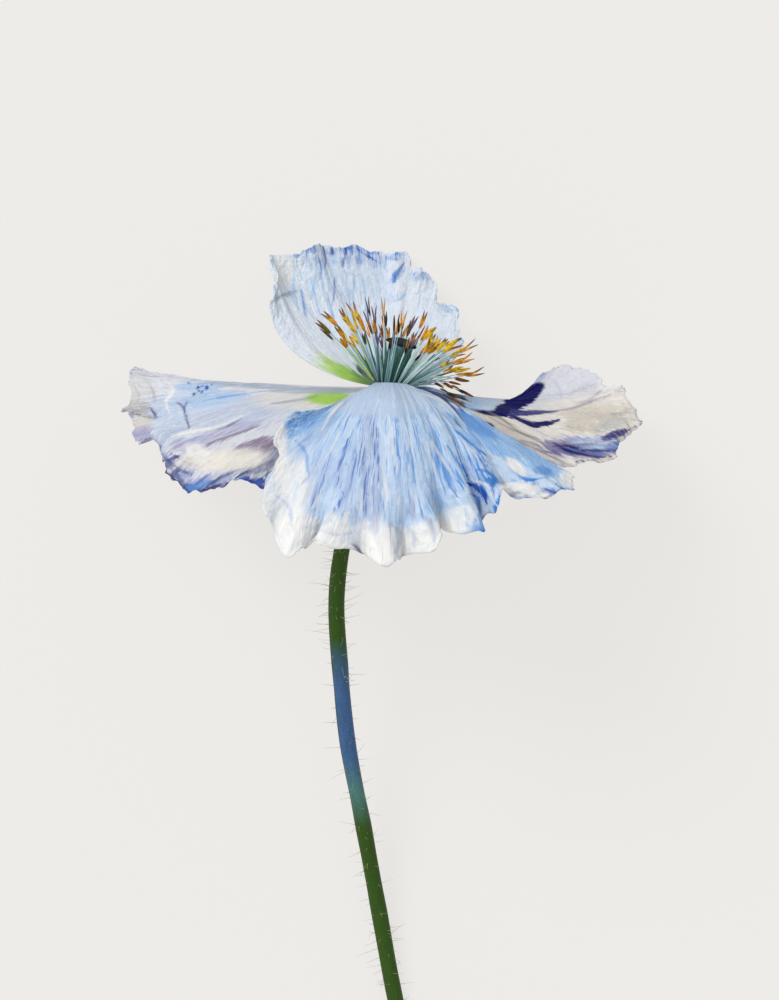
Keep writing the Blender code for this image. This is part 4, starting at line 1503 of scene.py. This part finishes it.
def bloom_petals() -> tuple[Petal, ...]:
    """The petals as this bloom has them.

    Returns:
        The back, left, right and front petals.
    """
    back = Petal(
        name="back_petal_tissue", node="petal_back", slot="petal_pale",
        claw=((-1.6, 0.6, -3.7), (3.4, -0.2, -3.7)),
        rim=(
            (-22.8, 17, -12.5), (-21.8, 22.4, -15.5), (-22.6, 27, -18.6), (-18.4, 27.5, -21.6),
            (-15, 29, -23.2), (-11.6, 29.5, -25), (-7.6, 29.4, -26.8), (-3.4, 28.9, -26.8),
            (0.2, 28, -26.8), (4, 28.2, -25.6), (4.6, 24.8, -24), (7.4, 24.4, -23),
            (10, 22.2, -21.6), (10.8, 18, -19.2), (13.6, 16.6, -17.2), (14.6, 13, -14.2),
            (15, 10.6, -11.6), (14.4, 7.4, -8.6),
        ),
        bows=((0.5, 1.35, 0.8), (0.9, 1.3, 0.55), (0.7, 1.2, 0.8)),
        sag=(0, 0, 0), pleat=0.3, crinkle=0.16, ragged=0.36,
        folds=(
            (0.07, 0.025, 0.86, 0.48), (0.14, 0.02, -0.79, 0, 0.65), (0.22, 0.022, 0.65, 0.4),
            (0.29, 0.02, -0.72), (0.36, 0.022, 0.72, -0.32, 0.55), (0.43, 0.02, -0.58),
            (0.5, 0.022, 0.79, 0.32, 0.5), (0.565, 0.018, -0.94), (0.63, 0.022, 0.94, 0.64),
            (0.7, 0.02, -0.79), (0.77, 0.022, 0.86, 0.48), (0.84, 0.02, -0.79),
            (0.92, 0.025, 0.72, 0.32),
        ),
        curls=((0.62, 0.8, 0.93, 2),), ground=Dye.FROST, paint=BACK_PAINT, ink=Dye.SKY,
        ink_share=(0, 0.13, 0.14), seed=11,
    )
    left = Petal(
        name="left_petal_tissue", node="petal_left", slot="petal_pale",
        claw=((-3, 0.2, -2.6), (-2.8, -0.6, 2.4)),
        rim=(
            (-50, 4.7, -26.8), (-51.2, 3.2, -25), (-51.4, -0.2, -20), (-52.2, -3.9, -14),
            (-49.6, -6, -10), (-49.1, -8.8, -6), (-47.5, -10.8, -3), (-45.2, -10.8, 0),
            (-44.2, -12.7, 3), (-42.9, -15.6, 5.5), (-40.2, -18.2, 8), (-37.4, -20.6, 11),
            (-34.2, -20, 13), (-30.6, -18.8, 15), (-26.6, -18, 16), (-22.2, -20.2, 16.5),
            (-17, -17.6, 14.5),
        ),
        bows=((1, 2.6, 1), (1, 1.3, 0.8), (1, 1.2, 0.7)), sag=(0, -1.2, 0), pleat=0.36,
        crinkle=0.17, ragged=0.5,
        folds=(
            (0.06, 0.03, 1, 0.5, 0.7), (0.15, 0.025, -1.4, -0.6, 0.7),
            (0.23, 0.03, 1.8, -0.8, 0.72), (0.33, 0.025, -1.6, 0, 0.7), (0.41, 0.03, 2, 0.9, 0.62),
            (0.49, 0.022, -1.5, 0, 0.7), (0.56, 0.03, 1.6, 0.8), (0.64, 0.022, -1.4, 0, 0.7),
            (0.71, 0.025, 1.4, 0.6), (0.79, 0.02, -1.2, 0, 0.7), (0.87, 0.025, 1.4, 0.5),
            (0.94, 0.02, -1.3, 0, 0.7),
        ),
        curls=((0.34, 0.62, 0.93, -2.6),), ground=Dye.LILAC_WHITE, paint=LEFT_PAINT, ink=Dye.LILAC,
        ink_share=(0, 0.22, 0.3), seed=23, facing=-1,
    )
    right = Petal(
        name="right_petal_tissue", node="petal_right", slot="petal_pale",
        claw=((4.5, 1.5, -2.8), (4.3, -1, 2.4)),
        rim=(
            (31.6, 3.9, -26.8), (34.6, 4.2, -26), (37.4, 5.3, -24), (41.2, 3.5, -20.5),
            (43.8, 0.5, -17), (46.8, 1.6, -14), (47.4, -1.4, -11), (49.8, -4.6, -7),
            (50.2, -6.6, -4), (48.8, -8, -0.5), (46, -9.8, 3), (45.4, -11.6, 5), (43.8, -13.8, 8),
            (39.6, -14, 9), (36, -15.4, 9.6), (30.8, -14.4, 8.5), (26.6, -12.4, 6.5),
        ),
        bows=((1, 6, 1), (1, 2.2, 0.8), (1, 1.1, 0.7)), sag=(5.6, 2.6, 0), pleat=0.34,
        crinkle=0.16, ragged=0.5,
        folds=(
            (0.05, 0.03, 0.9, 0.4), (0.13, 0.025, -1.1, 0, 0.7), (0.21, 0.03, 1.4, 0.8),
            (0.3, 0.022, -1.8, 0, 0.4), (0.38, 0.03, 1.6, -0.8), (0.46, 0.022, -1.4),
            (0.54, 0.03, 1.4, 0.8), (0.62, 0.022, -1.8, 0, 0.5), (0.7, 0.028, 1.8, 1, 0.55),
            (0.78, 0.022, -1.5), (0.86, 0.025, 1.2, 0.6), (0.94, 0.02, -0.9),
        ),
        curls=((0.5, 0.72, 0.93, -2.4),), ground=Dye.CREAM, paint=RIGHT_PAINT, ink=Dye.LILAC,
        ink_share=(0, 0.16, 0.22), seed=37,
    )
    front = Petal(
        name="front_petal_tissue", node="petal_front", slot="petal_blue",
        claw=((-1.8, 0.9, 3.8), (3.6, 0.5, 3.8)),
        rim=(
            (-17.4, -5, 13.5), (-20.2, -8.2, 15.5), (-20.6, -12.4, 18), (-21.8, -17.8, 21),
            (-22.8, -24.2, 24), (-20.6, -29.2, 26), (-16.8, -32.4, 28), (-13.2, -30.2, 29),
            (-8.6, -31, 31), (-5, -31, 32), (-0.4, -33.8, 33), (3.8, -32, 33), (7.6, -31.2, 32.5),
            (10.4, -27, 31), (14, -28.6, 30.5), (18.4, -27, 29), (20, -24, 28), (22.2, -21.2, 27),
            (27.2, -22.2, 25), (32.6, -21, 22), (35.4, -19.2, 19), (36.2, -16.8, 16.5),
        ),
        bows=((1, 0.9, 0.8), (1, 2, 0.5), (1, 1.15, 0.8)), sag=(1.3, -0.8, 0.2), pleat=0.42,
        crinkle=0.19, ragged=0.55,
        folds=(
            (0.05, 0.025, 1), (0.1, 0.022, -1.2), (0.16, 0.03, 1.6, 0.6, 0.62),
            (0.225, 0.02, -2.2, -0.6, 0.72), (0.275, 0.024, 2.8, 1.2, 0.76),
            (0.325, 0.016, -3, 0, 0.78), (0.375, 0.028, 3.4, -1.4, 0.78),
            (0.425, 0.016, -2.8, 0.8, 0.78), (0.475, 0.026, 2.8, 1.8, 0.8),
            (0.53, 0.016, -3, -0.8, 0.76), (0.58, 0.024, 2.8, 2, 0.76),
            (0.63, 0.016, -3.2, 0, 0.7), (0.68, 0.024, 3, 2, 0.62),
            (0.735, 0.018, -3.4, -0.8, 0.54), (0.785, 0.022, 2.8, -1), (0.845, 0.018, -2.2),
            (0.905, 0.022, 1.6, 0.6), (0.965, 0.02, -0.8),
        ),
        curls=((0.24, 0.44, 0.95, 2.2), (0.76, 0.9, 0.93, 2)),
        ground=Dye.PALE_SKY, paint=FRONT_PAINT, ink=Dye.AZURE, ink_share=(0.06, 0.36, 0.16),
        seed=5, facing=-1,
    )
    return back, left, right, front


# --------------------------------------------------------------------------- stamens


class AntherKind(Enum):
    """How far an anther has opened: how wide its lobes spread, and how thick they are."""

    CLOSED = (0.1, 0.36)
    FORKED = (0.95, 0.34)
    WIDE = (0.5, 0.46)


@dataclass(frozen=True)
class StamenRing:
    """One ring of stamens.

    Attributes:
        count: How many.
        foot_radius: How far from the capsule they stand.
        lean: How far they lean outwards, in degrees.
        length: How long they are.
        turn: How far the ring is turned, as a share of one stamen's place.
        packed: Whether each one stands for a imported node.
    """

    count: int
    foot_radius: float
    lean: float
    length: float
    turn: float
    packed: bool = True


def axis_matrix() -> Matrix:
    """Turns the bloom's own axis, +Z, to where it points from the heart.

    Returns:
        The matrix that turns and places what is modelled on the axis.
    """
    return (
        Matrix.Translation(Vector(STAMEN_FOOT))
        @ Matrix.Rotation(-AXIS_LEAN_RIGHT, 4, "Z")
        @ Matrix.Rotation(math.radians(-90) + AXIS_LEAN_UP, 4, "X")
    )


@dataclass(frozen=True)
class StamenBrush:
    """The stamens round the capsule, each one filament with a two-lobed anther.

    Attributes:
        rings: The rings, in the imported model's order, then the fillers.
        length_range: The shortest and the longest, as a share of their ring's length.
        bend: How far a filament bows outwards, as a share of its length.
        front_share: How much of the lean is left towards and away from the camera.
        foot_rise: How high a filament's foot stands on the receptacle.
        shares: How many points a stamen's path has.
        drooping: The tips of wilted stamens that hang over the front petal's shoulder.
    """

    rings: tuple[StamenRing, ...] = (
        StamenRing(13, 2.25, 26, 16.6, 0.1),
        StamenRing(16, 2.72, 43, 16.8, 0.3),
        StamenRing(19, 3.18, 62, 17.4, 0.0),
        StamenRing(14, 2.5, 34, 14.8, 0.6, False),
        StamenRing(20, 2.95, 53, 15.6, 0.5, False),
    )
    length_range: Pair = (0.66, 1.1)
    bend: float = 0.12
    front_share: float = 0.6
    foot_rise: float = 0.47
    shares: int = 15
    drooping: tuple[Triple, ...] = (
        (12.6, -1.3, 7.2), (14.2, -2.5, 7.4), (15.5, -4.2, 8.0), (16.6, -3.3, 6.2),
        (17.2, -1.9, 4.6), (13.4, -0.3, 3.4), (15.4, -0.8, 3.6), (11.2, 0.1, 5.4),
        (14.8, 0.6, 2.4), (16.4, 0.9, 1.2),
    )  # fmt: skip

    FILAMENTS = (Dye.TEAL_PALE, Dye.TEAL_PALE, Dye.FROST, Dye.TEAL, Dye.TEAL, Dye.TEAL_DEEP)
    FILAMENTS += (Dye.TEAL_DEEP, Dye.BLUE_GREY)
    LEFT_ANTHERS = (Dye.AMBER, Dye.YELLOW, Dye.YELLOW, Dye.OLIVE, Dye.AMBER)
    MIDDLE_ANTHERS = (Dye.BROWN, Dye.OLIVE, Dye.SOOT, Dye.AMBER, Dye.PLUM)
    RIGHT_ANTHERS = (Dye.YELLOW, Dye.AMBER, Dye.YELLOW, Dye.OLIVE, Dye.AMBER)
    ANTHER_TIPS = (Dye.BROWN, Dye.OLIVE, Dye.AMBER, Dye.BROWN)
    WILTED = (Dye.TEAL_DEEP, Dye.TEAL_PALE, Dye.NAVY, Dye.FROST, Dye.SLATE)
    WILTED_ANTHERS = (Dye.OLIVE, Dye.SOOT, Dye.BROWN)
    ANTHER_FROM = 0.76  # the share of a stamen's length where its anther begins
    PLACES_SEED = 7
    LOOKS_SEED = 19

    def model(self, bench: Bench, kind: AntherKind) -> Obj:
        """Models one straight stamen, z from foot 0 to tip 1 and x and y in millimetres.

        Args:
            bench: Where pieces are made.
            kind: How far its anther has opened.

        Returns:
            The model, to be copied.
        """
        spread, thick = kind.value
        filament = bench.rod("stamen_model", 6, 12)
        points = bench.points_of(filament)
        radius = np.interp(points[:, 2], (0.0, 0.5, 0.95, 1.0), (0.27, 0.22, 0.13, 0.1))
        points *= np.stack([radius, radius, np.full(len(radius), 0.8)], axis=-1)
        filament.data.vertices.foreach_set("co", points.ravel())
        lobes = []
        for side in (-1, 1):
            add = bpy.ops.mesh.primitive_uv_sphere_add
            lobe = bench.start(add, "lobe", segments=8, ring_count=9, radius=1.0)
            ball = bench.points_of(lobe)
            t = (ball[:, 2] + 1) / 2
            width = thick * np.sin(np.pi * np.clip(t, 0, 1) ** 0.75) ** 0.7
            turn = np.arctan2(ball[:, 1], ball[:, 0])
            x = width * np.cos(turn) * 0.8 + side * (0.22 * (1 - t) + spread * t**1.6)
            y = width * np.sin(turn) * 0.75 + 0.18 * np.sin(np.pi * t)
            z = 0.765 + 0.225 * t + 0.012 * np.cos(2 * turn)
            lobe.data.vertices.foreach_set("co", np.stack([x, y, z], axis=-1).ravel())
            lobes.append(lobe)
        bench.pick(filament, *lobes)
        bpy.ops.object.join()
        return filament

    def path(self, ring: StamenRing, number: int, chance: random.Random) -> Array:
        """One stamen's path from foot to tip, from the heart.

        Args:
            ring: Its ring.
            number: Its place in the ring.
            chance: The draws that make stamens differ.

        Returns:
            Its points.
        """
        azimuth = 2 * math.pi * (number + ring.turn + chance.uniform(-0.16, 0.16)) / ring.count
        kept = self.front_share + (1 - self.front_share) * math.cos(azimuth) ** 2
        lean = math.radians(ring.lean) * kept
        length = ring.length * chance.uniform(*self.length_range)
        outward = Vector((math.cos(azimuth), math.sin(azimuth), 0.0))
        up = Vector((0.0, 0.0, 1.0))
        foot = outward * ring.foot_radius + up * self.foot_rise
        tilt = outward * math.sin(lean) + up * math.cos(lean)
        bow = outward * math.cos(lean) - up * math.sin(lean)
        points = []
        for share in np.linspace(0.0, 1.0, self.shares):
            reach = tilt * share - bow * self.bend * share * (1 - share)
            points.append(axis_matrix() @ (foot + reach * length))
        return np.array(points)

    def dyes(self, tip: Array, chance: random.Random) -> tuple[Dye, Dye, AntherKind]:
        """Picks a stamen's colours by where its tip is.

        Args:
            tip: Its tip, from the heart.
            chance: The draws that make stamens differ.

        Returns:
            The filament's dye, the anther's dye and the anther's kind.
        """
        sides = (-6.0, self.LEFT_ANTHERS), (8.0, self.MIDDLE_ANTHERS)
        anthers = next((dyes for edge, dyes in sides if tip[0] < edge), self.RIGHT_ANTHERS)
        filament = chance.choice(self.FILAMENTS)
        if tip[0] < -8.5 and chance.random() < 0.6:
            filament = Dye.LIME_SOFT
        return filament, chance.choice(anthers), chance.choice(list(AntherKind))

    def wilted(self, tip: Triple, looks: random.Random) -> Array:
        """A drooping stamen's path from foot to tip, from the heart.

        Args:
            tip: Its tip, from the heart.
            looks: The draws that make stamens differ.

        Returns:
            Its points.
        """
        foot = np.array(axis_matrix() @ Vector((2.6, looks.uniform(0.5, 2.4), self.foot_rise)))
        share = np.linspace(0.0, 1.0, self.shares)[:, None]
        arch = np.array((0.4, looks.uniform(0.9, 1.9), looks.uniform(0.4, 1.2)))
        return foot + (np.array(tip) - foot) * share + arch * np.sin(np.pi * share)

    def build(self, bench: Bench, skin: Material) -> None:
        """Makes every stamen.

        Args:
            bench: Where pieces are made.
            skin: Their material.
        """
        models = {kind: self.model(bench, kind) for kind in AntherKind}
        chance = random.Random(self.PLACES_SEED)
        looks = random.Random(self.LOOKS_SEED)
        places = [(ring, k) for ring in self.rings for k in range(ring.count)]
        for number, (ring, k) in enumerate(places, 1):
            path = self.path(ring, k, chance)
            *dyes, kind = self.dyes(path[-1], looks)
            obj = self.dress(bench, models[kind], number, path, dyes, looks)
            nodes = (f"stamen_{number:02d}",) if ring.packed else ()
            bench.hand_over(obj, skin, "stamen", *nodes)
        for number, tip in enumerate(self.drooping, len(places) + 1):
            path = self.wilted(tip, looks)
            dyes = [looks.choice(self.WILTED), looks.choice(self.WILTED_ANTHERS)]
            obj = self.dress(bench, models[AntherKind.CLOSED], number, path, dyes, looks)
            bench.hand_over(obj, skin, "stamen")
        for model in models.values():
            bpy.data.objects.remove(model)

    def dress(
        self,
        bench: Bench,
        model: Obj,
        number: int,
        path: Array,
        dyes: list[Dye],
        looks: random.Random,
    ) -> Obj:
        """Copies a model stamen, lays it along its path and colours it, with painted shade at the
        filament's foot and at the anther's ends.

        Args:
            bench: Where pieces are made.
            model: The straight model.
            number: The stamen's number.
            path: Its path, from foot to tip.
            dyes: The filament's dye and the anther's.
            looks: The draws that make stamens differ.

        Returns:
            The stamen.
        """
        obj = bench.copy(model)
        obj.name = obj.data.name = f"stamen_{number:02d}_live"
        straight = bench.points_of(obj)
        x, y, z = straight.T
        twist = looks.uniform(-0.6, 0.6)
        wilt = np.clip((z - 0.74) / 0.26, 0.0, 1.0) ** 2
        turned = np.stack(
            [
                x * math.cos(twist) - y * math.sin(twist) + wilt * looks.uniform(-0.9, 0.9),
                x * math.sin(twist) + y * math.cos(twist) + wilt * looks.uniform(-0.9, 0.9),
                z,
            ],
            axis=-1,
        )
        middle = abs(path[-1][0] - 2.0) < 6.0
        size = looks.uniform(0.4, 0.72) if middle else looks.uniform(0.5, 0.95)
        bench.set_points(obj, laid_along(turned, path, np.full(len(path), size)))
        filament, anther = (dye.light for dye in dyes)
        # Painted shade: each filament darker at its foot, deep in the brush, and a little brighter
        # higher up.
        foot_shade = 0.65 + 0.5 * np.interp(z, (0.0, 0.3, 1.0), (0.0, 1.0, 1.0))
        # Painted shade: each anther lighter in its middle and darker towards both ends.
        shade = np.interp(z, (self.ANTHER_FROM, 0.86, 1.0), (0.8, 1.15, 0.8))
        on_anther = (z > self.ANTHER_FROM)[:, None]
        tip = looks.choice((dyes[1], *self.ANTHER_TIPS)).light
        browned = smooth(looks.uniform(0.8, 0.9), 0.97, z)[:, None]
        pollen = anther * (1 - browned) + tip * browned
        colours = np.where(on_anther, pollen * shade[:, None], filament * foot_shade[:, None])
        speckled = np.where(on_anther, 1.0, 0.2)
        bench.store(obj, "color", "dye", np.concatenate([colours, speckled], axis=-1))
        around = np.arctan2(y, x) / (2 * math.pi)
        bench.store(obj, "vector", "petal_place", np.stack([around, z, z * 0 + number], -1))
        return obj


# --------------------------------------------------------------------------- capsule


@dataclass(frozen=True)
class TurnedPiece:
    """A round piece on the bloom's axis, with ribs down its sides.

    Attributes:
        name: The piece's name.
        slot: The record's material slot.
        nodes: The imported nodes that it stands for.
        ribs: How many ribs.
        rib_depth: How deep they are, as a share of the radius.
        top: The colour at the top.
        side: The colour of the sides.
        profile: Its radius and height, from top to bottom.
    """

    name: str
    slot: str
    nodes: tuple[str, ...]
    ribs: int
    rib_depth: float
    top: Dye
    side: Dye
    profile: tuple[Pair, ...]

    SIDES = 72
    RINGS = 56

    def build(self, bench: Bench, skin: Material) -> None:
        """Makes the piece.

        Args:
            bench: Where pieces are made.
            skin: Its material.
        """
        add = bpy.ops.mesh.primitive_uv_sphere_add
        obj = bench.start(add, self.name, segments=self.SIDES, ring_count=self.RINGS, radius=1.0)
        ball = bench.points_of(obj)
        down = np.arccos(np.clip(ball[:, 2], -1.0, 1.0)) / math.pi
        turn = np.arctan2(ball[:, 1], ball[:, 0])
        curve = spline_through(self.profile, down)
        radius = np.clip(curve[:, 0], 0.0, None)
        ribbed = radius * (1 + self.rib_depth * np.cos(self.ribs * turn) * np.sin(np.pi * down))
        local = np.stack([ribbed * np.cos(turn), ribbed * np.sin(turn), curve[:, 1]], axis=-1)
        matrix = np.array(axis_matrix())
        bench.set_points(obj, local @ matrix[:3, :3].T + matrix[:3, 3])
        share = smooth(0.12, 0.3, down)[:, None]
        dye = self.top.light * (1 - share) + self.side.light * share
        bench.store(obj, "color", "dye", dye)
        around = turn / (2 * math.pi) + 0.5
        bench.store(obj, "vector", "petal_place", np.stack([around, down, down * 0 + 5.0], -1))
        bench.hand_over(obj, skin, self.slot, *self.nodes)


CAPSULE_PIECES = (
    TurnedPiece(
        "receptacle_cushion", "receptacle", ("receptacle",), 12, 0.03, Dye.TEAL, Dye.STEM_GREEN,
        ((0.0, 0.0), (3.2, 0.0), (3.5, -0.4), (3.25, -1.3), (2.2, -2.5), (1.6, -3.2), (0.0, -3.2)),
    ),
    TurnedPiece(
        "capsule_body", "seed_capsule", ("seed_capsule",), 9, 0.06, Dye.BLUE_GREY, Dye.TEAL_DEEP,
        (
            (0.0, 8.9), (1.9, 8.8), (2.25, 7.6), (2.35, 5.3),
            (2.0, 3.1), (1.45, 1.1), (1.3, 0.3), (0.0, 0.3),
        ),
    ),
    TurnedPiece(
        "stigma_disc", "seed_capsule", (), 8, 0.14, Dye.SOOT, Dye.SOOT,
        ((0.0, 10.15), (1.2, 9.95), (2.5, 9.3), (2.72, 8.9), (2.2, 8.6), (0.0, 8.5)),
    ),
)  # fmt: skip


# --------------------------------------------------------------------------- stem


@dataclass(frozen=True)
class Stem:
    """The curved stem with its hairs, from under the receptacle to its cut end.

    Attributes:
        route: The points that it runs through, from the heart.
        bands: Its colours, each with its place along y.
        radius: Its radius.
        steps: How many places along it are worked out.
        hairs: How many hairs stand on it.
        hair_length: The shortest and the longest hair.
    """

    route: tuple[Triple, ...] = (
        (-0.2, -3.5, -0.4), (-3.2, -13.0, -1.0), (-6.4, -23.0, -1.7), (-8.5, -32.0, -2.6),
        (-9.5, -42.0, -4.8), (-8.9, -54.0, -9.0), (-7.4, -70.0, -14.5), (-4.3, -87.0, -19.8),
        (-1.1, -105.0, -23.9), (1.8, -121.0, -25.4), (5.6, -138.0, -25.4), (8.0, -149.0, -25.4),
    )  # fmt: skip
    bands: tuple[tuple[float, Dye], ...] = (
        (-49.0, Dye.STEM_GREEN),
        (-57.5, Dye.STEM_BLUE),
        (-73.0, Dye.STEM_BLUE),
        (-80.0, Dye.STEM_TEAL),
        (-87.0, Dye.STEM_GREEN),
    )
    radius: float = 1.6
    steps: int = 260
    hairs: int = 280
    hair_length: Pair = (1.3, 3.4)

    HAIR_RADII = (0.045, 0.036, 0.028, 0.024, 0.018, 0.01)
    HAIR_SEED = 29
    KNOBS = 34
    KNOB_SWELL = 0.05
    KNOB_SEED = 3
    END_INSETS = (0.12, 0.45)

    def shade(self, y: Array) -> Array:
        """The stem's colour at places along it, from the heart.

        Args:
            y: The places.

        Returns:
            The colour at each place.
        """
        places = [-place for place, _ in self.bands]
        lights = np.array([dye.light for _, dye in self.bands])
        return np.stack([np.interp(-y, places, light) for light in lights.T], axis=-1)

    def build(self, bench: Bench, skin: Material, down: Material) -> None:
        """Makes the stem and its hairs.

        Args:
            bench: Where pieces are made.
            skin: The stem's material.
            down: The hairs' material.
        """
        obj = bench.rod("stem_rod", 28, 220)
        bpy.ops.object.mode_set(mode="EDIT")
        bpy.ops.mesh.select_all(action="DESELECT")
        for face in bmesh.from_edit_mesh(obj.data).faces:
            face.select_set(len(face.verts) > 4)
        bmesh.update_edit_mesh(obj.data)
        for inset in self.END_INSETS:
            bpy.ops.mesh.inset(thickness=inset)
        bpy.ops.object.mode_set(mode="OBJECT")
        straight = bench.points_of(obj)
        shares = np.linspace(0.0, 1.0, self.steps)
        path = spline_through(self.route, shares)
        chance = np.random.default_rng(self.KNOB_SEED)
        knobs = chance.uniform(-self.KNOB_SWELL, self.KNOB_SWELL, self.KNOBS)
        swell = np.interp(shares, np.linspace(0, 1, self.KNOBS), knobs)
        placed = laid_along(straight, path, self.radius * (1 + swell))
        placed[:, 2] = np.maximum(placed[:, 2], 0.03 - REST_HEIGHT)
        bench.set_points(obj, placed)
        cut = (straight[:, 2] > 0.999) & (np.hypot(straight[:, 0], straight[:, 1]) < 0.9)
        colours = np.where(cut[:, None], Dye.LIME_SOFT.light, self.shade(placed[:, 1]))
        middle = laid_along(straight * (0.0, 0.0, 1.0), path, np.ones(self.steps))
        edge = smooth(0.75, 1.0, (middle - placed)[:, :1] / self.radius)
        colours = colours * (1 - edge) + Dye.STEM_GREEN.light * 0.6 * edge
        bench.store(obj, "color", "dye", colours)
        around = np.arctan2(straight[:, 1], straight[:, 0]) / (2 * math.pi) + 0.5
        spots = np.stack([around, straight[:, 2] * 4, around * 0], axis=-1)
        bench.store(obj, "vector", "petal_place", spots)
        bench.hand_over(obj, skin, "stem", "stem")
        self.build_hairs(bench, path, down)

    def build_hairs(self, bench: Bench, path: Array, down: Material) -> None:
        """Makes the hairs as one piece.

        Args:
            bench: Where pieces are made.
            path: The stem's middle, from the heart.
            down: Their material.
        """
        runs, sides, uppers = frames_along(path)
        model = bench.rod("hair_model", 4, 5)
        straight = bench.points_of(model)
        chance = random.Random(self.HAIR_SEED)
        radii = np.array(self.HAIR_RADII)
        shares = np.linspace(0.0, 1.0, len(radii))[:, None]
        copies = []
        for _ in range(self.hairs):
            place = int(chance.uniform(0.17, 0.985) * (len(path) - 1))
            side, upper = sides[place], uppers[place]
            turn = chance.uniform(0, 2 * math.pi)
            out = side * math.cos(turn) + upper * math.sin(turn)
            foot = path[place] + out * self.radius * 0.97
            length = chance.uniform(*self.hair_length)
            lean = runs[place] * chance.uniform(-0.45, 0.45)
            curl = side * chance.uniform(-0.6, 0.6) + upper * chance.uniform(-0.6, 0.6)
            hair = foot + (out * shares + lean * shares + curl * shares**2) * length
            hair[:, 2] = np.maximum(hair[:, 2], 0.15 - REST_HEIGHT)
            copies.append(bench.copy(model))
            bench.set_points(copies[-1], laid_along(straight, hair, radii))
        bpy.data.objects.remove(model)
        bench.pick(*copies)
        bpy.ops.object.join()
        copies[0].name = copies[0].data.name = "stem_hairs"
        bench.hand_over(copies[0], down, "stem")


# --------------------------------------------------------------------------- studio


@dataclass(frozen=True)
class Studio:
    """A plain pale light table, soft light and a camera straight above the bloom.

    Attributes:
        floor_side: The floor's side, in metres.
        floor_shade: How much light the floor sends back.
        floor_tint: The tint of that light.
        floor_glow: How much light it gives off itself.
        world_light: How bright the light from all round is.
        key_light: The large soft lamp's strength.
        key_turn: How the lamp is turned from straight down, in degrees.
        key_softness: How wide the lamp looks from the bloom, in degrees.
        lens: The camera's lens, in millimetres.
    """

    floor_side: float = 16.0
    floor_shade: float = 0.1
    floor_tint: Triple = (1.0, 0.985, 0.965)
    floor_glow: float = 0.725
    world_light: float = 0.84
    key_light: float = 2.1
    key_turn: Triple = (-32.0, -38.0, 0.0)
    key_softness: float = 28.0
    lens: float = 135.0

    def build(self, bench: Bench, effects: Effects) -> None:
        """Sets up the floor, the light and the camera.

        Args:
            bench: Where pieces are made.
            effects: The shared patterns.
        """
        scene = bpy.context.scene
        scene.view_settings.view_transform = "Standard"
        add = bpy.ops.mesh.primitive_plane_add
        floor = bench.start(add, "studio_floor", size=self.floor_side)
        paper, recipe, skin = new_material("pale_light_table")
        cloud = recipe.group(effects.mottle, Scale=4.0, Contrast=1.0)["Cloud"]
        light, dark = (
            (*(self.floor_shade * level * tint for tint in self.floor_tint), 1.0)
            for level in (1.0, 0.97)
        )
        recipe.fill(
            skin,
            Base_Color=recipe.blend(cloud, light, dark),
            Roughness=0.95,
            Specular_IOR_Level=0.1,
            Emission_Color=(1.0, 0.975, 0.945, 1.0),
            Emission_Strength=self.floor_glow,
        )
        floor.data.materials.append(paper)

        scene.world = bpy.data.worlds.new("soft_room")
        scene.world.use_nodes = True
        room = Recipe(scene.world.node_tree)
        sky = room.tree.nodes["Background"]
        room.fill(sky, Color=(1.0, 0.99, 0.98, 1.0), Strength=self.world_light)

        key = bpy.data.lights.new("key_softbox", "SUN")
        key.energy = self.key_light
        key.angle = math.radians(self.key_softness)
        key.color = (1.0, 0.99, 0.97)
        lamp = bpy.data.objects.new("key_softbox", key)
        bpy.context.collection.objects.link(lamp)
        lamp.rotation_euler = tuple(math.radians(turn) for turn in self.key_turn)

        lens = bpy.data.cameras.new("camera")
        lens.lens = self.lens
        lens.sensor_width = 36.0
        lens.clip_start = 0.01
        lens.clip_end = 40.0
        camera = bpy.data.objects.new("camera", lens)
        bpy.context.collection.objects.link(camera)
        camera.location = bench.heart + Vector((*EYE_PLACE, EYE_HEIGHT)) * MM
        scene.camera = camera


# --------------------------------------------------------------------------- the flower


def main() -> None:
    """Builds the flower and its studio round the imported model."""
    logging.basicConfig(level=logging.INFO, format="%(name)s: %(message)s")
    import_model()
    bench = Bench()
    effects = Effects()
    Studio().build(bench, effects)

    pale = PetalTissue("pale_petal_tissue", 84.0, 5.0, 0.2).make(effects)
    blue = PetalTissue("blue_petal_tissue", 96.0, 4.0, 0.27).make(effects)
    green = DyedSkin("stem_skin", 0.55, 2600.0, 0.35, 0x1A3010, 0.35, 7.0).make(effects)
    pollen = DyedSkin("stamen_skin", 0.6, 1900.0, 0.55, 0x33200F, 0.35, 3.0).make(effects)
    bloomy = DyedSkin("capsule_skin", 0.6, 3600.0, 0.4, 0x131722, 0.5, 16.0).make(effects)
    for petal in bloom_petals():
        petal.build(bench, blue if petal.slot == "petal_blue" else pale)
    for piece in CAPSULE_PIECES:
        piece.build(bench, green if piece.slot == "receptacle" else bloomy)
    StamenBrush().build(bench, pollen)
    Stem().build(bench, green, HairDown().make(effects))


if __name__ == "__main__":
    main()
